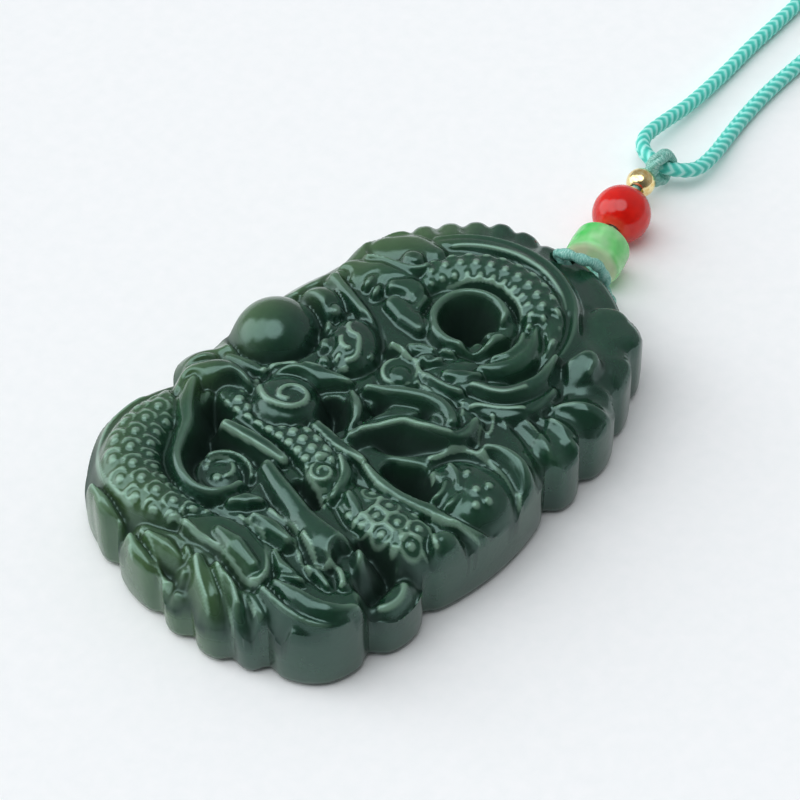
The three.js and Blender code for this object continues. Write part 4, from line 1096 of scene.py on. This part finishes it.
# Gold plate: polished metal with faint handling marks
gold_plate, tree, skin = material("polished_gold_plate")
MARK = 0.4
spot = add(tree, "ShaderNodeTexCoord").outputs["Object"]
marks = add(
    tree, "ShaderNodeTexNoise", {"Vector": spot, "Scale": 1 / (MARK * MM), "Detail": 3.0},
).outputs["Fac"]
tree.links.new(ramp(tree, marks, [(0.3, "#eecb7c"), (0.7, "#fff2c0")]), skin.inputs["Base Color"])
rubbed = add(tree, "ShaderNodeMapRange", {0: marks, 3: 0.1, 4: 0.22}).outputs[0]
tree.links.new(rubbed, skin.inputs["Roughness"])
skin.inputs["Metallic"].default_value = 1.0

rondelle = drum(radius=2.95, half=1.85, corner=0.7, bore=0.95)
green_bead = turned_bead("green_rondelle", rondelle, along=0.0, finish=green_glass)
red_bead = turned_bead("red_bead_glass", ball(radius=3.0, bore=0.95), along=6.2, finish=red_glass)
gold_bead = turned_bead("gold_bead_plated", ball(radius=1.5, bore=0.7), along=11.25, finish=gold_plate)

# Waxed thread: two plies twisted together, pale where fibres catch the light and dull teal between them
TWIST = 1.7
THREAD_RADIUS = 0.6
FIBRES_PER_MM = 9.0


def thread_radius(along, turn):
    """Two plies side by side, turning along the thread."""
    return THREAD_RADIUS * (0.66 + 0.34 * np.abs(np.cos(turn - np.pi * along / TWIST)))


def on_string(x, y, z):
    """A point given across, along and above the bead string, in the shared frame."""
    c, s = math.cos(STRING_TURN), math.sin(STRING_TURN)
    return STRING_START[0] + c * x - s * y, STRING_START[1] + s * x + c * y, STRING_START[2] + z


waxed_thread, tree, skin = material("waxed_thread")
uv = add(tree, "ShaderNodeUVMap", uv_map="along").outputs["UV"]
fibre = add(tree, "ShaderNodeTexNoise", {"Vector": uv, "Scale": FIBRES_PER_MM, "Detail": 2.0}).outputs["Fac"]
colour = ramp(tree, fibre, [(0.3, "#4c9a8a"), (0.55, "#88c6b8"), (0.8, "#cfeae2")])
tree.links.new(colour, skin.inputs["Base Color"])
bump = add(tree, "ShaderNodeBump", {"Height": fibre, "Strength": 0.4, "Distance": 0.05 * MM})
tree.links.new(bump.outputs[0], skin.inputs["Normal"])
skin.inputs["Roughness"].default_value = 0.45

# The thread's loop through the stone, its turns round the neck cord, and its run through the beads
in_stone = [HOLE_MOUTH.lerp(HOLE_EXIT, t) for t in (0.15, 0.4, 0.65, 0.85)]
hole_loop = [
    (1.2, 29.4, 3.1), (2.6, 29.7, 3.2), (3.9, 29.4, 3.8), (3.95, 28.9, 5.2), (3.45, 28.3, 6.7),
    (2.8, 27.4, 7.5), (1.6, 26.75, 7.85), (0.9, 26.5, 7.85), (0.15, 26.4, 7.5), *in_stone, (5.0, 28.6, 1.7),
    (4.4, 29.6, 1.5), (2.8, 30.0, 2.2), (1.2, 29.5, 3.0),
]
WRAP_PLACE = (0.9, 14.5, -0.35)
WRAP_TURN = math.radians(-20)
WRAP_RADIUS = 1.45
WRAP_SPAN = 0.84
WRAP_TURNS = 2
WRAP_STEPS = 48
wraps = []
for step in range(WRAP_STEPS + 1):
    turn = 2 * math.pi * WRAP_TURNS * step / WRAP_STEPS
    side = WRAP_SPAN * step / WRAP_STEPS - WRAP_SPAN / 2
    ahead = -WRAP_RADIUS * math.cos(turn)
    across = WRAP_PLACE[0] + side * math.cos(WRAP_TURN) - ahead * math.sin(WRAP_TURN)
    along = WRAP_PLACE[1] + side * math.sin(WRAP_TURN) + ahead * math.cos(WRAP_TURN)
    wraps.append(on_string(across, along, WRAP_RADIUS * math.sin(turn) + WRAP_PLACE[2]))
core = [on_string(0, y, 0) for y in (-3.2, 0, 4, 8, 11.6)] + [on_string(0.35, 13.1, -0.3)]
parts = [
    rope(name, smooth(line, 12), 0.12, 12, thread_radius, waxed_thread)[0]
    for name, line in (("bail_thread_twist", hole_loop), ("wraps", wraps), ("core", core))
]
pick(parts[0])
for part in parts[1:]:
    part.select_set(True)
bpy.ops.object.join()
bail = parts[0]

# Kraft paper: matt and off-white with faint pulp, in a tie round the coil's far side
PULP = 0.3
TIE_CENTRE = (COIL_CENTRE[0], COIL_CENTRE[1] + 9.2, 1.93)
TIE_SIZE = (3.0, 8.6, 3.7)
TIE_CORNER = 0.9
TIE_THICKNESS = 0.12
tie_band, tree, skin = material("kraft_paper_tie")
spot = add(tree, "ShaderNodeTexCoord").outputs["Object"]
pulp = add(
    tree, "ShaderNodeTexNoise", {"Vector": spot, "Scale": 1 / (PULP * MM), "Detail": 3.0},
).outputs["Fac"]
tree.links.new(ramp(tree, pulp, [(0.3, "#e4e0d6"), (0.7, "#f3f0e8")]), skin.inputs["Base Color"])
skin.inputs["Roughness"].default_value = 0.8
pick()
bpy.ops.mesh.primitive_cube_add(size=1, location=[part * MM for part in TIE_CENTRE])
tie = bpy.context.object
tie.name = "coil_tie"
tie.scale = [part * MM for part in TIE_SIZE]
bpy.ops.object.transform_apply(location=True, rotation=True, scale=True)
bpy.ops.object.mode_set(mode="EDIT")
bpy.ops.mesh.select_mode(type="FACE")
bm = bmesh.from_edit_mesh(tie.data)
for f in bm.faces:
    f.select = abs(f.normal.x) > 0.9
bmesh.update_edit_mesh(tie.data)
bpy.ops.mesh.delete(type="FACE")
bpy.ops.mesh.select_mode(type="EDGE")
bm = bmesh.from_edit_mesh(tie.data)
for e in bm.edges:
    e.select = abs(e.verts[0].co.x - e.verts[1].co.x) > MM
bmesh.update_edit_mesh(tie.data)
bpy.ops.mesh.bevel(offset=TIE_CORNER * MM, segments=6)
bpy.ops.object.mode_set(mode="OBJECT")
bpy.ops.object.modifier_add(type="SOLIDIFY")
tie.modifiers[-1].thickness = TIE_THICKNESS * MM
tie.modifiers[-1].offset = -1
bpy.ops.object.modifier_apply(modifier=tie.modifiers[-1].name)
bpy.ops.object.shade_smooth_by_angle(angle=math.radians(40))
tie.data.materials.append(tie_band)

# Pieces on their body, and what they stand for
for piece, nodes, slot in (
    (stone, ["jade_pendant"], "jade"),
    (neck_cord, ["neck_cord", "cord_coil"], "cord"),
    (bail, ["bail_thread"], "thread"),
    (green_bead, ["green_bead"], "green_glass"),
    (red_bead, ["red_bead"], "red_glass"),
    (gold_bead, ["gold_bead"], "gold"),
    (tie, [], None),
):
    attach(piece, "root")
    if nodes:
        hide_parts(*nodes)

# Matt white board: an even pale table with the faintest grain
BOARD_GRAIN = 1.5
table_paint, tree, skin = material("matt_white_board")
spot = add(tree, "ShaderNodeTexCoord").outputs["Object"]
grain = add(
    tree, "ShaderNodeTexNoise", {"Vector": spot, "Scale": 1 / (BOARD_GRAIN * MM), "Detail": 3.0},
).outputs["Fac"]
tree.links.new(ramp(tree, grain, [(0.3, "#f8fafa"), (0.7, "#fcfdfd")]), skin.inputs["Base Color"])
skin.inputs["Roughness"].default_value = 0.7
pick()
bpy.ops.mesh.primitive_plane_add(size=3)
table = bpy.context.object
table.name = "table"
table.data.materials.append(table_paint)

# Light: a pale room, dimmer towards the viewer, with three soft windows from overhead down to the left.
# Each window has its direction, the angles where it is full and where it ends, and its strength
WINDOWS = [
    ((0.0, -0.2, 0.98), 18, 28, 2.75),
    ((-0.42, -0.45, 0.79), 18, 30, 2.35),
    ((-0.82, -0.46, 0.34), 18, 28, 2.3),
]
DIM_SIDE = (0.6, -0.67, 0.43)
room = bpy.data.worlds.new("pale_room")
room.use_nodes = True
tree = room.node_tree
sky = add(tree, "ShaderNodeTexCoord").outputs["Generated"]
glow = 0.0
for aim, inner, outer, power in WINDOWS:
    facing = add(tree, "ShaderNodeVectorMath", {0: sky, 1: aim}, operation="DOT_PRODUCT").outputs["Value"]
    window = add(
        tree, "ShaderNodeMapRange",
        {0: facing, 1: math.cos(math.radians(outer)), 2: math.cos(math.radians(inner)), 3: 0.0, 4: power},
        interpolation_type="SMOOTHSTEP",
    ).outputs[0]
    glow = add(tree, "ShaderNodeMath", {0: window, 1: glow}, operation="MAXIMUM").outputs[0]
facing = add(tree, "ShaderNodeVectorMath", {0: sky, 1: DIM_SIDE}, operation="DOT_PRODUCT").outputs["Value"]
room_light = add(tree, "ShaderNodeMapRange", {0: facing, 1: 0.2, 2: 0.9, 3: 0.44, 4: 0.12}).outputs[0]
glow = add(tree, "ShaderNodeMath", {0: glow, 1: room_light}, operation="ADD").outputs[0]
backdrop = tree.nodes["Background"]
backdrop.inputs["Color"].default_value = linear("#f3f5f8")
tree.links.new(glow, backdrop.inputs["Strength"])
bpy.context.scene.world = room
bpy.context.scene.view_settings.view_transform = "Standard"
